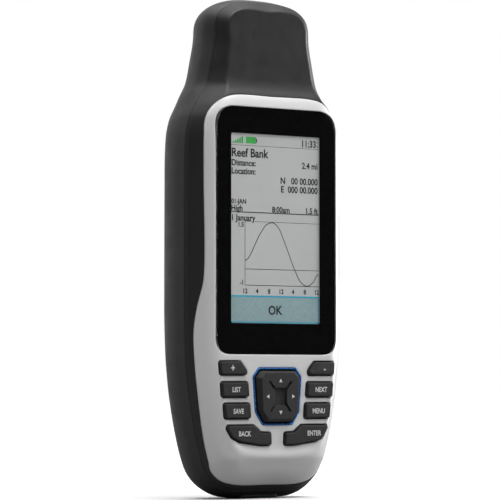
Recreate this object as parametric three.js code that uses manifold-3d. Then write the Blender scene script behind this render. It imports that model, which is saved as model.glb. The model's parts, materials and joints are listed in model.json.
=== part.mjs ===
// Handheld marine GPS navigator: a wide display above a raised keypad, a fixed antenna head on top
// and a battery door with a D-ring latch on the back.
//
// Millimetres, +Z up. The display looks along -Y and +X is its right-hand side. The origin is the
// centre of the small flat foot under the housing. Depths are measured backwards from the outer
// face of the display lens; at(depth) turns a depth into a y coordinate.

import * as THREE from 'three';
import { mergeVertices } from 'three/addons/utils/BufferGeometryUtils.js';
import Module from 'manifold-3d';

// ---------------------------------------------------------------------------------------------
// Driving dimensions
// ---------------------------------------------------------------------------------------------

const HEIGHT = 169;
const BACK_DEPTH = 29.7;          // flat back behind the lens face
const WIDEST_DEPTH = 13;          // depth at which the housing is widest
const FOOT = { halfWidth: 9, front: 10, back: 19, top: 2.4 };
const LENS_Y = -(FOOT.front + FOOT.back) / 2;
const at = (depth) => depth + LENS_Y;

const GAP = 0.3;                  // clearance between pieces that meet
const FRONT_SHOULDER = 10.5;      // how far the front edge rounding reaches in from the outline
const BACK_SHOULDER = 16;
const BOTTOM_CAP = { height: 12.8, power: 4 };
const TOP_CAP = { height: 12.5, power: 2.7 };
const SPINE_LOW = 16;             // the shell is rounded about a vertical line between these heights
const SPINE_HIGH = 156;

// Half width of the housing against height: tapered grip, straight display section, neck, head.
const SIDE = [
  [0, 22.2], [8, 24.8], [16, 27.4], [26, 29.9], [38, 32], [50, 33.1], [64, 33.5], [112, 33.4],
  [121, 33], [127, 31.7], [132, 29.1], [136, 27], [140, 24.8], [146, 23.3], [157, 21.5], [169, 21.9],
];
// Depth of the front face against height: chin, flat display and keypad face, set-back head.
const FRONT = [
  [0, 7.2], [4.5, 5], [10, 1.8], [14.5, 0], [130, 0], [133, 1.3], [136, 2.4], [142, 3.6],
  [151, 4.5], [161, 5.1], [169, 5.3],
];
const BACK = [[0, 22], [5, 27], [12, BACK_DEPTH], [148, BACK_DEPTH], [160, 29.2], [169, 28.5]];

const PARTING = 8;                // depth of the joint between front and rear housing
const REAR_WALL = 2.3;
const FRONT_WALL = 3.3;
const PLATE_THICKNESS = 1.5;
const PLATE_EDGE = 6.8;           // the plate wraps back round the shoulders to this depth

const LENS = { halfWidth: 25.67, bottom: 48.4, top: 131.3, cornerTop: 7.6, cornerBottom: 5.6 };
const LENS_THICKNESS = 1.2;
const VIEW_HALF_WIDTH = 19.05;    // 38.1 x 63.5 mm viewing area
const VIEW_BOTTOM = 58.85;
const VIEW_TOP = 122.35;

const KEY_FACE = -0.95;           // keys stand about one millimetre proud of the plate
const KEY_BACK = 2.6;
const KEY_FLANGE = 0.5;
const ROCKER_CENTRE = 34.3;
const ROCKER_FACE = -1.9;

const WINDOW = { halfWidth: 20.5, bottom: 57.6, top: 123.7 };     // opening behind the lens
const LENS_GASKET = { inset: 0.6, front: 1.35, back: 1.65 };
const LCD = { front: 1.75, back: 3.5, sides: 1.1, below: 0.9, above: 1 };
const LCD_TRAY = { halfWidth: 21.8, front: 3.7, back: 5.3, bottom: 54, top: 126.5 };
const RIBBON_SLOT = { halfWidth: 9, height: 2.5 };

const KEY_CORNER = 0.9;
const KEY_BEVEL = 0.25;
const RING = { width: 0.75, front: -0.2 };
const ROCKER = { gap: 0.4, shoulder: -0.2, back: 2.1, flange: 0.6, flangeBack: 2.7, hollow: 0.6 };
const PIVOT = { radius: 1.5, front: 3.1, back: 4.6 };
const KEYPAD_MAT = { front: 3.5, back: 4.3 };
const DOME_SHEET = { front: 5, back: 5.3 };
const DOME = { low: 2, high: 1.2, height: 0.45, depth: 4.825, fromRocker: 6.5 };

const CELL = { radius: 7.25, length: 50.5, depth: 19.6, x: 7.6 };
const CELL_LEFT_LOW = 40.1;       // the two cells point opposite ways, so their ends are staggered
const CELL_RIGHT_LOW = 36.6;
const CONTACT = { front: 14, back: 24, bottom: 90.7, top: 91.2, inner: 3.2, outer: 12 };
const BAY = { halfWidth: 15.6, bottom: 34, top: 91.6, floor: 12, wall: 1.3 };
const DOOR = { halfWidth: 20.5, bottom: 12, top: 95.5, corner: 5, inner: 28.1 };
const LEDGE = { front: 25.8, back: 27.8 };
const LATCH = { z: 21.5, well: 8.7, cup: 6.9, disc: 6.6, shaft: 2.2, wire: 0.75 };
const DOOR_SEAL = { halfWidth: 17, bottom: 32.6, top: 93, front: 27.1, back: 28, groove: 26.9 };
const HOUSING_SEAL = { outside: 1.7, inside: 2.5, depth: 0.9, rise: 2.8 };

const PORT = { halfWidth: 10.6, bottom: 118.6, top: 132.2, floor: 24.6 };
const CAP_HINGE = { depth: 28.3, z: 120.2, radius: 1.3 };
const RAIL_POCKET = { halfWidth: 8.3, bottom: 98.5, top: 116.5, floor: 26.6 };
const RAIL = { neck: 5, head: 7, step: 28, back: 29.5, bottom: 99.5, top: 115.5 };
const POCKET_WALL = 1.4;
const POCKET_RIM = 28;            // the walls round both pockets reach back to this depth

const BOARD = { front: 5.6, back: 6.8, halfWidth: 19.8, bottom: 17, top: 134 };
const SCREWS = [[24, 30], [24.4, 100], [13.5, 146]];
const SCREW = { shaft: 1.25, tip: 5.8, headFront: 21.3, headBack: 22.8, head: 2.4 };
const BOSS = { radius: 3, rib: 6, halfRib: 1.2, post: 4 };
const POWER = { z: 110, depth: 14, halfHeight: 5.2, halfDepth: 2.4, corner: 2.2, face: 33.75 };
const SHIELD = { left: -6, right: 16, back: 9.6, bottom: 61, top: 84, wall: 0.4 };
const CARD_SLOT = { halfWidth: 7.4, back: 8.7, bottom: 41, top: 56 };
const BUZZER = { x: -9, z: 106, radius: 6, back: 9.8, port: 1.2 };
const PORT_BOARD = { halfWidth: 10.5, front: 20.6, back: 21.8, bottom: 117.6, top: 133 };
const USB = { left: -8.3, right: -0.1, back: 26.4, bottom: 123.9, top: 127.5, wall: 0.5 };
const SOCKET = { x: 5.2, z: 125.7, radius: 2.6, bore: 1.9, pin: 0.45, back: 26.2 };
const ANTENNA = { depth: 17, bottom: 139.4, top: 163, core: 5.2, board: 8, boardThickness: 1.3 };
const BRACKET = { front: 8.4, back: 25, legHalf: 6, shelfHalf: 9, bottom: 116, top: 137.5 };

// Cutters run past the surfaces that they open, between these depths.
const AHEAD = -5;
const MIDDLE = 12;
const BEHIND = 40;

// ---------------------------------------------------------------------------------------------
// Geometry helpers
// ---------------------------------------------------------------------------------------------

const wasm = await Module();
wasm.setup();

// A closed three.js geometry as a solid that can be joined and cut.
function solid(geometry) {
  const bare = geometry.clone();
  bare.deleteAttribute('normal');
  bare.deleteAttribute('uv');
  const merged = mergeVertices(bare, 1e-4);
  return new wasm.Manifold(new wasm.Mesh({
    numProp: 3,
    vertProperties: merged.attributes.position.array,
    triVerts: new Uint32Array(merged.index.array),
  }));
}

function geometryOf(manifold) {
  const mesh = manifold.getMesh();
  const geometry = new THREE.BufferGeometry();
  geometry.setAttribute('position', new THREE.BufferAttribute(mesh.vertProperties, 3));
  geometry.setIndex(new THREE.BufferAttribute(mesh.triVerts, 1));
  return welded(geometry, 0.004);
}

// Joins vertices closer than the tolerance and drops the triangles that collapse.
function welded(geometry, tolerance) {
  const merged = mergeVertices(geometry, tolerance);
  const triangles = [];
  for (let i = 0; i < merged.index.count; i += 3) {
    const [a, b, c] = [0, 1, 2].map((k) => merged.index.getX(i + k));
    if (a !== b && b !== c && c !== a) triangles.push(a, b, c);
  }
  merged.setIndex(triangles);
  return merged;
}

const joinAll = (solids) => solids.reduce((sum, piece) => sum.add(piece));
const cutAll = (body, cutters) => cutters.reduce((rest, cutter) => rest.subtract(cutter), body);

// Monotone cubic through [position, value] pairs, held level beyond the ends.
function profile(points) {
  const slope = points.slice(1).map((p, i) => (p[1] - points[i][1]) / (p[0] - points[i][0]));
  const tangent = points.map((p, i) => {
    if (i === 0 || i === points.length - 1 || slope[i - 1] * slope[i] <= 0) return 0;
    return 2 * slope[i - 1] * slope[i] / (slope[i - 1] + slope[i]);
  });
  return (t) => {
    if (t <= points[0][0]) return points[0][1];
    const i = points.findIndex((p) => p[0] >= t) - 1;
    if (i < 0) return points[points.length - 1][1];
    const span = points[i + 1][0] - points[i][0];
    const u = (t - points[i][0]) / span;
    const rise = points[i + 1][1] - points[i][1];
    const ease = u * u * (3 - 2 * u);
    const start = span * tangent[i] * u * (1 - u) * (1 - u);
    const end = span * tangent[i + 1] * u * u * (1 - u);
    return points[i][1] + rise * ease + start - end;
  };
}

// Points of a closed polygon with each corner rounded by an arc of its own radius.
function rounded(corners, radii, steps = 3) {
  const points = [];
  corners.forEach((corner, i) => {
    const here = new THREE.Vector2(...corner);
    const before = new THREE.Vector2(...corners.at(i - 1)).sub(here);
    const after = new THREE.Vector2(...corners[(i + 1) % corners.length]).sub(here);
    const radius = Array.isArray(radii) ? radii[i] : radii;
    const half = Math.acos(before.clone().normalize().dot(after.clone().normalize())) / 2;
    const reach = Math.min(radius / Math.tan(half), 0.48 * before.length(), 0.48 * after.length());
    const start = here.clone().addScaledVector(before.normalize(), reach);
    const end = here.clone().addScaledVector(after.normalize(), reach);
    const arc = new THREE.QuadraticBezierCurve(start, here, end);
    points.push(...arc.getPoints(steps));
  });
  return points;
}

const rectangle = (left, right, bottom, top) => [
  [left, bottom],
  [right, bottom],
  [right, top],
  [left, top],
];
const mirrored = (half) => [...half, ...half.slice().reverse().map(([x, z]) => [-x, z])];
const flipped = (points) => points.map(([x, z]) => [-x, z]).reverse();

// A polygon moved outwards by a distance along its edge normals; it runs anticlockwise.
function grown(points, distance) {
  return points.map((point, i) => {
    const here = new THREE.Vector2(point.x, point.y);
    const inward = here.clone().sub(points.at(i - 1)).normalize();
    const outward = new THREE.Vector2().subVectors(points[(i + 1) % points.length], here).normalize();
    const normal = new THREE.Vector2(inward.y + outward.y, -inward.x - outward.x).normalize();
    const stretch = 1 / Math.max(0.5, normal.dot(new THREE.Vector2(inward.y, -inward.x)));
    return here.addScaledVector(normal, distance * stretch);
  });
}

const vectors = (points) => points.map((p) => (p.isVector2 ? p : new THREE.Vector2(...p)));

// A front-view outline given depth: a prism between two depths.
function slab(points, front, back, bevel = 0) {
  const geometry = new THREE.ExtrudeGeometry(new THREE.Shape(vectors(points)), {
    depth: back - front - 2 * bevel,
    bevelEnabled: bevel > 0,
    bevelThickness: bevel,
    bevelSize: bevel,
    bevelOffset: -bevel,
    bevelSegments: 1,
    curveSegments: 6,
  });
  return geometry.rotateX(Math.PI / 2).translate(0, at(back) - bevel, 0);
}

const box = (left, right, front, back, bottom, top) => (
  slab(rectangle(left, right, bottom, top), front, back)
);
const throughFront = (outline) => solid(slab(outline, AHEAD, MIDDLE));
const sunkFromBack = (outline, floor) => solid(slab(outline, floor, BEHIND));

// A disc or rod whose axis runs front to back.
function rod(x, z, radius, front, back, sides = 16) {
  const geometry = new THREE.CylinderGeometry(radius, radius, back - front, sides);
  return geometry.translate(x, at((front + back) / 2), z);
}

// A rod standing upright at a given depth.
function post(x, depth, radius, bottom, top, sides = 16) {
  const geometry = new THREE.CylinderGeometry(radius, radius, top - bottom, sides);
  return geometry.rotateX(Math.PI / 2).translate(x, at(depth), (bottom + top) / 2);
}

// ---------------------------------------------------------------------------------------------
// Housing surface
// ---------------------------------------------------------------------------------------------

const sideWidth = profile(SIDE);
const frontDepth = profile(FRONT);
const backDepth = profile(BACK);

const SIDE_ROWS = [19, 26, 38, 50, 64, 88, 112, 121, 127, 132, 136, 140, 146];

const spineBeside = (z) => new THREE.Vector2(0, THREE.MathUtils.clamp(z, SPINE_LOW, SPINE_HIGH));

// The front-view outline, anticlockwise from its bottom centre.
function fullOutline(capSteps) {
  const points = [];
  for (let i = 0; i <= capSteps; i += 1) {
    const angle = (Math.PI / 2) * (i / capSteps);
    const power = 2 / BOTTOM_CAP.power;
    const z = BOTTOM_CAP.height * (1 - Math.cos(angle) ** power);
    points.push([sideWidth(z) * Math.sin(angle) ** power, z]);
  }
  SIDE_ROWS.forEach((z) => points.push([sideWidth(z), z]));
  for (let i = 0; i <= capSteps; i += 1) {
    const angle = (Math.PI / 2) * (i / capSteps);
    const power = 2 / TOP_CAP.power;
    const z = HEIGHT - TOP_CAP.height * (1 - Math.sin(angle) ** power);
    points.push([sideWidth(z) * Math.cos(angle) ** power, z]);
  }
  points[0][0] = 0;
  points.at(-1)[0] = 0;
  return [...points, ...points.slice(1, -1).reverse().map(([x, z]) => [-x, z])];
}

// The closed outer form, moved inwards by an inset. Each ring of the skin is the outline drawn
// towards the upright centre line while its depth follows a quarter ellipse.
function bodySolid(inset, ringSteps = 5, capSteps = 5) {
  const loop = fullOutline(capSteps);
  const rings = [];
  const addRing = (facing, turn) => {
    rings.push(loop.map(([x, z]) => {
      const centre = spineBeside(z);
      const start = new THREE.Vector2(x, z);
      const reach = start.distanceTo(centre);
      const frontShoulder = Math.min(FRONT_SHOULDER, 0.8 * reach);
      const backShoulder = Math.min(BACK_SHOULDER, 0.85 * reach);
      const shoulder = facing < 0 ? frontShoulder : backShoulder;
      const travel = turn === null ? reach : inset + (shoulder - inset) * (1 - Math.cos(turn));
      const point = start.lerp(centre, travel / reach);
      const face = facing < 0 ? frontDepth(point.y) + inset : backDepth(point.y) - inset;
      const rise = turn === null ? 1 : Math.sin(turn);
      return new THREE.Vector3(point.x, at(WIDEST_DEPTH + (face - WIDEST_DEPTH) * rise), point.y);
    }));
  };
  addRing(-1, null);
  for (let i = ringSteps; i > 0; i -= 1) addRing(-1, (Math.PI / 2) * (i / ringSteps));
  for (let i = 0; i <= ringSteps; i += 1) addRing(1, (Math.PI / 2) * (i / ringSteps));
  addRing(1, null);
  return solid(skin(rings));
}

// Triangles between neighbouring rings; quads that collapse on the centre line drop out.
function skin(rings) {
  const count = rings[0].length;
  const geometry = new THREE.BufferGeometry().setFromPoints(rings.flat());
  const index = [];
  for (let r = 0; r + 1 < rings.length; r += 1) {
    for (let i = 0; i < count; i += 1) {
      const a = r * count + i;
      const b = r * count + (i + 1) % count;
      index.push(a, b + count, b, a, a + count, b + count);
    }
  }
  geometry.setIndex(index);
  return welded(geometry, 1e-4);
}

const outer = bodySolid(0);
const beforeDepth = (depth) => solid(box(-HEIGHT, HEIGHT, -HEIGHT, depth, -HEIGHT, 2 * HEIGHT));
const behindDepth = (depth) => solid(box(-HEIGHT, HEIGHT, depth, HEIGHT, -HEIGHT, 2 * HEIGHT));

// ---------------------------------------------------------------------------------------------
// Front-view outlines
// ---------------------------------------------------------------------------------------------

const PLATE_HALF = [
  [0, 4.6], [14, 4.9], [19.5, 6.4], [23, 9.4], [24.6, 13.4], [26.5, 20], [29, 33.2], [30.6, 46.4],
  [31, 56], [30.4, 64], [29.2, 72], [28.9, 79], [28.9, 119], [28.1, 126.1], [26.5, 129.6],
  [23.2, 133], [18, 135], [0, 135.3],
];
const plateOutline = vectors(
  mirrored(PLATE_HALF).filter(([x], i) => x !== 0 || i < PLATE_HALF.length),
);
const lensOutline = rounded(
  rectangle(-LENS.halfWidth, LENS.halfWidth, LENS.bottom, LENS.top),
  [LENS.cornerBottom, LENS.cornerBottom, LENS.cornerTop, LENS.cornerTop],
);

// Right-hand keys; the left-hand ones mirror them.
const KEY_OUTLINES = {
  zoom: [[24.4, 41.55], [24.75, 46.1], [15.8, 46.1], [13.1, 43], [13.1, 41.55]],
  upper: [[23.65, 34.15], [24.1, 39.2], [12.65, 39.2], [12.2, 34.15]],
  middle: [[22.4, 26.95], [23, 32.1], [11.8, 32.1], [11.4, 26.95]],
  lower: [
    [2.7, 18], [7.2, 18], [16.4, 19.2], [19.7, 20.6], [21.6, 23.5], [21.4, 24.8], [10.1, 24.8],
    [7, 22.4], [2.9, 22.3],
  ],
};
const KEYS = {
  zoom_out_key: ['zoom', 1],
  zoom_in_key: ['zoom', -1],
  page_key: ['upper', 1],
  find_key: ['upper', -1],
  menu_key: ['middle', 1],
  mark_key: ['middle', -1],
  enter_key: ['lower', 1],
  quit_key: ['lower', -1],
};
const keyOutline = ([row, side]) => {
  const points = KEY_OUTLINES[row];
  return rounded(side > 0 ? points : flipped(points), KEY_CORNER, 2);
};

const ringOuter = rounded(mirrored([[6.4, 24.7], [9.5, 29], [10.5, 41], [8, 44.05]]), 1.2, 2);
const ringInner = grown(ringOuter, -RING.width);
const rockerBase = grown(ringInner, -ROCKER.gap);
const rockerTop = rounded(mirrored([[5.3, 26.65], [7.6, 29.5], [8.2, 40.6], [6, 42.5]]), 1, 2);
const keypadWell = rounded(
  mirrored([[19, 16.2], [22.9, 20.2], [24.2, 29], [25.5, 40], [26, 47.4]]),
  1.5,
);
const doorOutline = rounded(
  rectangle(-DOOR.halfWidth, DOOR.halfWidth, DOOR.bottom, DOOR.top),
  DOOR.corner,
);

// ---------------------------------------------------------------------------------------------
// Housing pieces
// ---------------------------------------------------------------------------------------------

const bothSides = (places) => places.flatMap(([x, z]) => [[x, z], [-x, z]]);
const screwPlaces = bothSides(SCREWS);

function makeFacePlate() {
  const apertures = Object.values(KEYS).flatMap((key) => {
    const outline = keyOutline(key);
    const flangeSeat = slab(grown(outline, KEY_FLANGE + GAP), PLATE_THICKNESS, MIDDLE);
    return [throughFront(grown(outline, GAP)), solid(flangeSeat)];
  });
  const shell = outer.subtract(bodySolid(PLATE_THICKNESS, 3, 4));
  const blank = shell.intersect(solid(slab(plateOutline, AHEAD, PLATE_EDGE)));
  return cutAll(blank, [
    throughFront(grown(lensOutline, GAP)),
    throughFront(grown(ringOuter, GAP)),
    ...apertures,
  ]);
}

function makeFrontHousing() {
  const inner = bodySolid(PLATE_THICKNESS + GAP, 3, 4);
  const front = beforeDepth(PARTING - GAP / 2);
  const seat = solid(slab(grown(plateOutline, GAP), AHEAD, PLATE_EDGE + GAP)).subtract(inner);
  const shell = outer.subtract(bodySolid(FRONT_WALL, 3, 4)).intersect(front);
  const window = rectangle(-WINDOW.halfWidth, WINDOW.halfWidth, WINDOW.bottom, WINDOW.top);
  const open = cutAll(shell, [seat, throughFront(window), throughFront(keypadWell)]);
  const bosses = screwPlaces.flatMap(([x, z]) => {
    const tip = x + BOSS.rib * Math.sign(x);
    const [low, high] = [z - BOSS.halfRib, z + BOSS.halfRib];
    const rib = box(Math.min(x, tip), Math.max(x, tip), BOARD.front, PARTING, low, high);
    return [solid(rod(x, z, BOSS.radius, BOARD.front, PARTING, 12)), solid(rib)];
  });
  const body = open.add(joinAll(bosses).intersect(inner.intersect(front)));
  const holes = screwPlaces.map(([x, z]) => (
    solid(rod(x, z, SCREW.shaft + GAP, SCREW.tip - GAP, MIDDLE, 10))
  ));
  return cutAll(body, holes);
}

// Closed block round a pocket, from a wall's thickness in front of its floor to the pocket rim.
function pocketBlock(pocket, above) {
  const reach = pocket.halfWidth + POCKET_WALL;
  const front = pocket.floor - POCKET_WALL;
  return box(-reach, reach, front, POCKET_RIM, pocket.bottom - above, pocket.top + above);
}

const pocketOutline = ({ halfWidth, bottom, top }) => rectangle(-halfWidth, halfWidth, bottom, top);

// Rear shell with the battery bay, the ledge under the door, the port pocket, the rail pocket,
// the screw posts and the foot.
function makeRearHousing() {
  const behind = behindDepth(PARTING + GAP / 2);
  const inside = bodySolid(REAR_WALL, 3, 4);
  const within = bodySolid(0.6, 3, 4).intersect(behind);
  const bayReach = BAY.halfWidth + BAY.wall;
  const bayWalls = slab(
    rectangle(-bayReach, bayReach, BAY.bottom - BAY.wall, BAY.top + BAY.wall),
    BAY.floor - BAY.wall,
    LEDGE.back,
  );
  const ledge = slab(grown(doorOutline, LEDGE.back - LEDGE.front), LEDGE.front, LEDGE.back);
  const blocks = [pocketBlock(PORT, POCKET_WALL), pocketBlock(RAIL_POCKET, 1)];
  const posts = screwPlaces.map(([x, z]) => rod(x, z, BOSS.post, PARTING, BACK_DEPTH, 12));
  const added = joinAll([bayWalls, ledge, ...blocks, ...posts].map(solid)).intersect(within);
  const foot = box(-FOOT.halfWidth, FOOT.halfWidth, FOOT.front, FOOT.back, 0, FOOT.top);
  const body = outer.subtract(inside).intersect(behind).add(added).add(solid(foot));
  const holes = screwPlaces.flatMap(([x, z]) => [
    solid(rod(x, z, SCREW.shaft + GAP, 0, SCREW.headBack, 10)),
    solid(rod(x, z, SCREW.head + GAP, SCREW.headFront - GAP, BEHIND, 16)),
  ]);
  const seal = HOUSING_SEAL;
  return cutAll(body, [
    sunkFromBack(grown(doorOutline, GAP), LEDGE.back),
    sunkFromBack(pocketOutline(BAY), BAY.floor),
    makeCardRecess(),
    solid(rod(0, LATCH.z, LATCH.well, PARTING, BEHIND, 24)),
    sunkFromBack(sealOutline(0.9), DOOR_SEAL.groove).subtract(sunkFromBack(sealOutline(-0.9), 0)),
    sunkFromBack(pocketOutline(PORT), PORT.floor),
    sunkFromBack(grown(vectors(usbOutline(0)), GAP), PORT_BOARD.front - 0.6),
    solid(rod(SOCKET.x, SOCKET.z, SOCKET.radius + GAP, PORT_BOARD.front - 0.6, BEHIND)),
    sunkFromBack(pocketOutline(RAIL_POCKET), RAIL_POCKET.floor),
    solid(powerPrism(GAP, WINDOW.halfWidth, BEHIND)),
    outlineBand(seal.outside - GAP, seal.inside + GAP, PARTING, PARTING + seal.depth + 0.25),
    ...holes,
  ]);
}

// Hollow in the bay floor that clears the memory card slot.
function makeCardRecess() {
  const reach = CARD_SLOT.halfWidth + 0.6;
  return solid(box(-reach, reach, PARTING, BAY.floor + 3, CARD_SLOT.bottom - 1, CARD_SLOT.top + 1));
}

// Middle line of the door seal, moved out or in by half the width of a cord or its groove.
function sealOutline(spread) {
  const { halfWidth, bottom, top } = DOOR_SEAL;
  const reach = halfWidth + spread;
  return rounded(rectangle(-reach, reach, bottom - spread, top + spread), 0.8, 2);
}

const usbOutline = (inset) => (
  rectangle(USB.left + inset, USB.right - inset, USB.bottom + inset, USB.top - inset)
);

function makeDoorSeal() {
  const cord = solid(slab(sealOutline(0.6), DOOR_SEAL.front, DOOR_SEAL.back));
  return cord.subtract(sunkFromBack(sealOutline(-0.6), 0));
}

// A band that follows the housing outline between two insets and two depths. Along the bottom it
// runs higher, because the chin slopes back there.
function outlineBand(outside, inside, front, back) {
  const loop = (inset) => fullOutline(4).map(([x, z]) => {
    const start = new THREE.Vector2(x, z);
    const centre = spineBeside(z);
    const point = start.lerp(centre, inset / start.distanceTo(centre));
    return point.setY(Math.max(point.y, HOUSING_SEAL.rise + inset));
  });
  const filled = solid(slab(loop(outside), front, back));
  return filled.subtract(solid(slab(loop(inside), front - 1, back + 1)));
}

// Square cord in the groove along the rim of the rear housing.
const makeHousingSeal = () => (
  outlineBand(HOUSING_SEAL.outside, HOUSING_SEAL.inside, PARTING, PARTING + HOUSING_SEAL.depth)
);

// ---------------------------------------------------------------------------------------------
// Display
// ---------------------------------------------------------------------------------------------

const makeLens = () => slab(lensOutline, 0, LENS_THICKNESS, 0.2);

function makeLensGasket() {
  const { inset, front, back } = LENS_GASKET;
  const outside = solid(slab(grown(lensOutline, -inset), front, back));
  return outside.subtract(throughFront(grown(vectors(pocketOutline(WINDOW)), 0.1)));
}

const makeLcdPanel = () => box(
  -VIEW_HALF_WIDTH - LCD.sides,
  VIEW_HALF_WIDTH + LCD.sides,
  LCD.front,
  LCD.back,
  VIEW_BOTTOM - LCD.below,
  VIEW_TOP + LCD.above,
);

// Metal tray behind the panel with a cut-out for its ribbon.
function makeLcdFrame() {
  const tray = solid(slab(pocketOutline(LCD_TRAY), LCD_TRAY.front, LCD_TRAY.back));
  const { halfWidth, height } = RIBBON_SLOT;
  const slot = rectangle(-halfWidth, halfWidth, 0, LCD_TRAY.bottom + height);
  return tray.subtract(throughFront(slot));
}

// ---------------------------------------------------------------------------------------------
// Keypad
// ---------------------------------------------------------------------------------------------

// A key: a bevelled cap through the plate and a wider flange that stays behind it.
function makeKey(key) {
  const outline = keyOutline(key);
  const cap = solid(slab(outline, KEY_FACE, KEY_BACK, KEY_BEVEL));
  const flange = solid(slab(grown(outline, KEY_FLANGE), PLATE_THICKNESS + GAP, KEY_BACK));
  return cap.add(flange);
}

// Loft between outlines that have the same number of points, each at its own depth.
function loft(levels) {
  const rings = levels.map(([points, depth]) => (
    vectors(points).map((p) => new THREE.Vector3(p.x, at(depth), p.y))
  ));
  const centre = (ring) => {
    const sum = ring.reduce((total, p) => total.clone().add(p), new THREE.Vector3());
    return ring.map(() => sum.clone().divideScalar(ring.length));
  };
  return solid(skin([centre(rings[0]), ...rings, centre(rings.at(-1))]));
}

// Rocker: sloping edges up to a flat face with a shallow cross-shaped hollow in the middle.
function makeRockerCap() {
  const { shoulder, back, flangeBack } = ROCKER;
  const cap = loft([[rockerTop, ROCKER_FACE], [rockerBase, shoulder], [rockerBase, back]]);
  const flange = slab(grown(rockerBase, ROCKER.flange), back - 0.01, flangeBack);
  const floor = ROCKER_FACE + ROCKER.hollow;
  const arms = [-1, 1].map((lean) => {
    const bar = slab(rounded(rectangle(-6.4, 6.4, -0.55, 0.55), 0.5, 2), AHEAD, floor);
    return solid(bar.rotateY(lean * 0.75).translate(0, 0, ROCKER_CENTRE));
  });
  const middle = box(-2.8, 2.8, AHEAD, floor, ROCKER_CENTRE - 3.2, ROCKER_CENTRE + 3.2);
  return cutAll(cap.add(solid(flange)), [...arms, solid(middle)]);
}

const makeRockerRing = () => (
  solid(slab(ringOuter, RING.front, PLATE_THICKNESS)).subtract(throughFront(ringInner))
);

const makeRockerPivot = () => rod(0, ROCKER_CENTRE, PIVOT.radius, PIVOT.front, PIVOT.back, 10);

// Silicone web behind the keys, open around the rocker pivot.
function makeKeypadMat() {
  const web = solid(slab(grown(keypadWell, -GAP), KEYPAD_MAT.front, KEYPAD_MAT.back));
  return web.subtract(solid(rod(0, ROCKER_CENTRE, PIVOT.radius + 0.8, 0, MIDDLE, 12)));
}

// Thin sheet with one snap dome behind each key and four behind the rocker.
function makeDomeSheet() {
  const centres = Object.values(KEYS).map((key) => {
    const outline = keyOutline(key);
    const sum = outline.reduce((total, p) => total.clone().add(p), new THREE.Vector2());
    return sum.divideScalar(outline.length).toArray();
  });
  const rocker = [[0, 1], [0, -1], [1, 0], [-1, 0]].map(([x, z]) => (
    [x * DOME.fromRocker, ROCKER_CENTRE + z * DOME.fromRocker]
  ));
  const domes = [...centres, ...rocker].map(([x, z]) => {
    const dome = new THREE.CylinderGeometry(DOME.low, DOME.high, DOME.height, 8);
    return solid(dome.translate(x, at(DOME.depth), z));
  });
  const sheet = slab(grown(keypadWell, -1), DOME_SHEET.front, DOME_SHEET.back);
  return joinAll([solid(sheet), ...domes]);
}

// ---------------------------------------------------------------------------------------------
// Electronics
// ---------------------------------------------------------------------------------------------

// Circuit board with its larger chips, and an ear on the right that carries the power switch.
function makeMainBoard() {
  const { front, back, halfWidth, bottom, top } = BOARD;
  const sheet = slab(rounded(rectangle(-halfWidth, halfWidth, bottom, top), 2, 2), front, back);
  const ear = box(halfWidth - 1, 27, front, back, 105, 115);
  // Each chip's left, right, bottom and top edges and the depth of its back.
  const chips = [
    [-16, -9, 88, 96, 8],
    [2, 13, 100, 108, 8.1],
    [-14, -8, 62, 78, 7.9],
    [8, 16, 24, 30, 7.8],
    [-16, -10, 40, 50, 8],
  ].map(([left, right, low, high, depth]) => solid(box(left, right, back - 0.1, depth, low, high)));
  return joinAll([solid(sheet), solid(ear), ...chips]);
}

function makeShieldCan() {
  const { left, right, back, bottom, top, wall } = SHIELD;
  const can = solid(box(left, right, BOARD.back + GAP, back, bottom, top));
  const inside = box(left + wall, right - wall, 0, back - wall, bottom + wall, top - wall);
  return can.subtract(solid(inside));
}

function makeCardSlot() {
  const shell = slab(pocketOutline(CARD_SLOT), BOARD.back + GAP, CARD_SLOT.back);
  const mouth = CARD_SLOT.halfWidth - 1.4;
  const inside = box(-mouth, mouth, 7.5, CARD_SLOT.back - 0.4, 0, CARD_SLOT.top - 3);
  return solid(shell).subtract(solid(inside));
}

function makeBuzzer() {
  const { x, z, radius, back, port } = BUZZER;
  return solid(rod(x, z, radius, BOARD.back + GAP, back, 16))
    .subtract(solid(rod(x, z, port, back - port, MIDDLE, 6)));
}

function powerPrism(margin, left, right) {
  const [across, up] = [POWER.halfDepth + margin, POWER.halfHeight + margin];
  const outline = rounded(rectangle(-across, across, -up, up), POWER.corner, 3);
  const geometry = new THREE.ExtrudeGeometry(new THREE.Shape(vectors(outline)), {
    depth: right - left,
    bevelEnabled: false,
  });
  // The outline's x runs front to back, its y runs up, and the prism runs to the right.
  return geometry
    .applyMatrix4(new THREE.Matrix4().makeBasis(
      new THREE.Vector3(0, 1, 0),
      new THREE.Vector3(0, 0, 1),
      new THREE.Vector3(1, 0, 0),
    ))
    .translate(left, at(POWER.depth), POWER.z);
}

// Key cap through the housing wall, with a wider foot that keeps it in.
const makePowerKey = () => (
  solid(powerPrism(0, 29.8, POWER.face)).add(solid(powerPrism(0.7, 29, 30)))
);

function makePowerSwitch() {
  const block = solid(box(23, 27.4, BOARD.back + GAP, POWER.depth + 3, POWER.z - 3, POWER.z + 3));
  const stem = box(27, 28, POWER.depth - 1.2, POWER.depth + 1.2, POWER.z - 1, POWER.z + 1);
  return block.add(solid(stem));
}

const makePortBoard = () => (
  slab(rounded(pocketOutline(PORT_BOARD), 1.5, 2), PORT_BOARD.front, PORT_BOARD.back)
);

function makeUsbPort() {
  const shell = solid(slab(usbOutline(0), PORT_BOARD.back + 0.2, USB.back));
  return shell.subtract(sunkFromBack(usbOutline(USB.wall), USB.back - 3));
}

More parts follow.
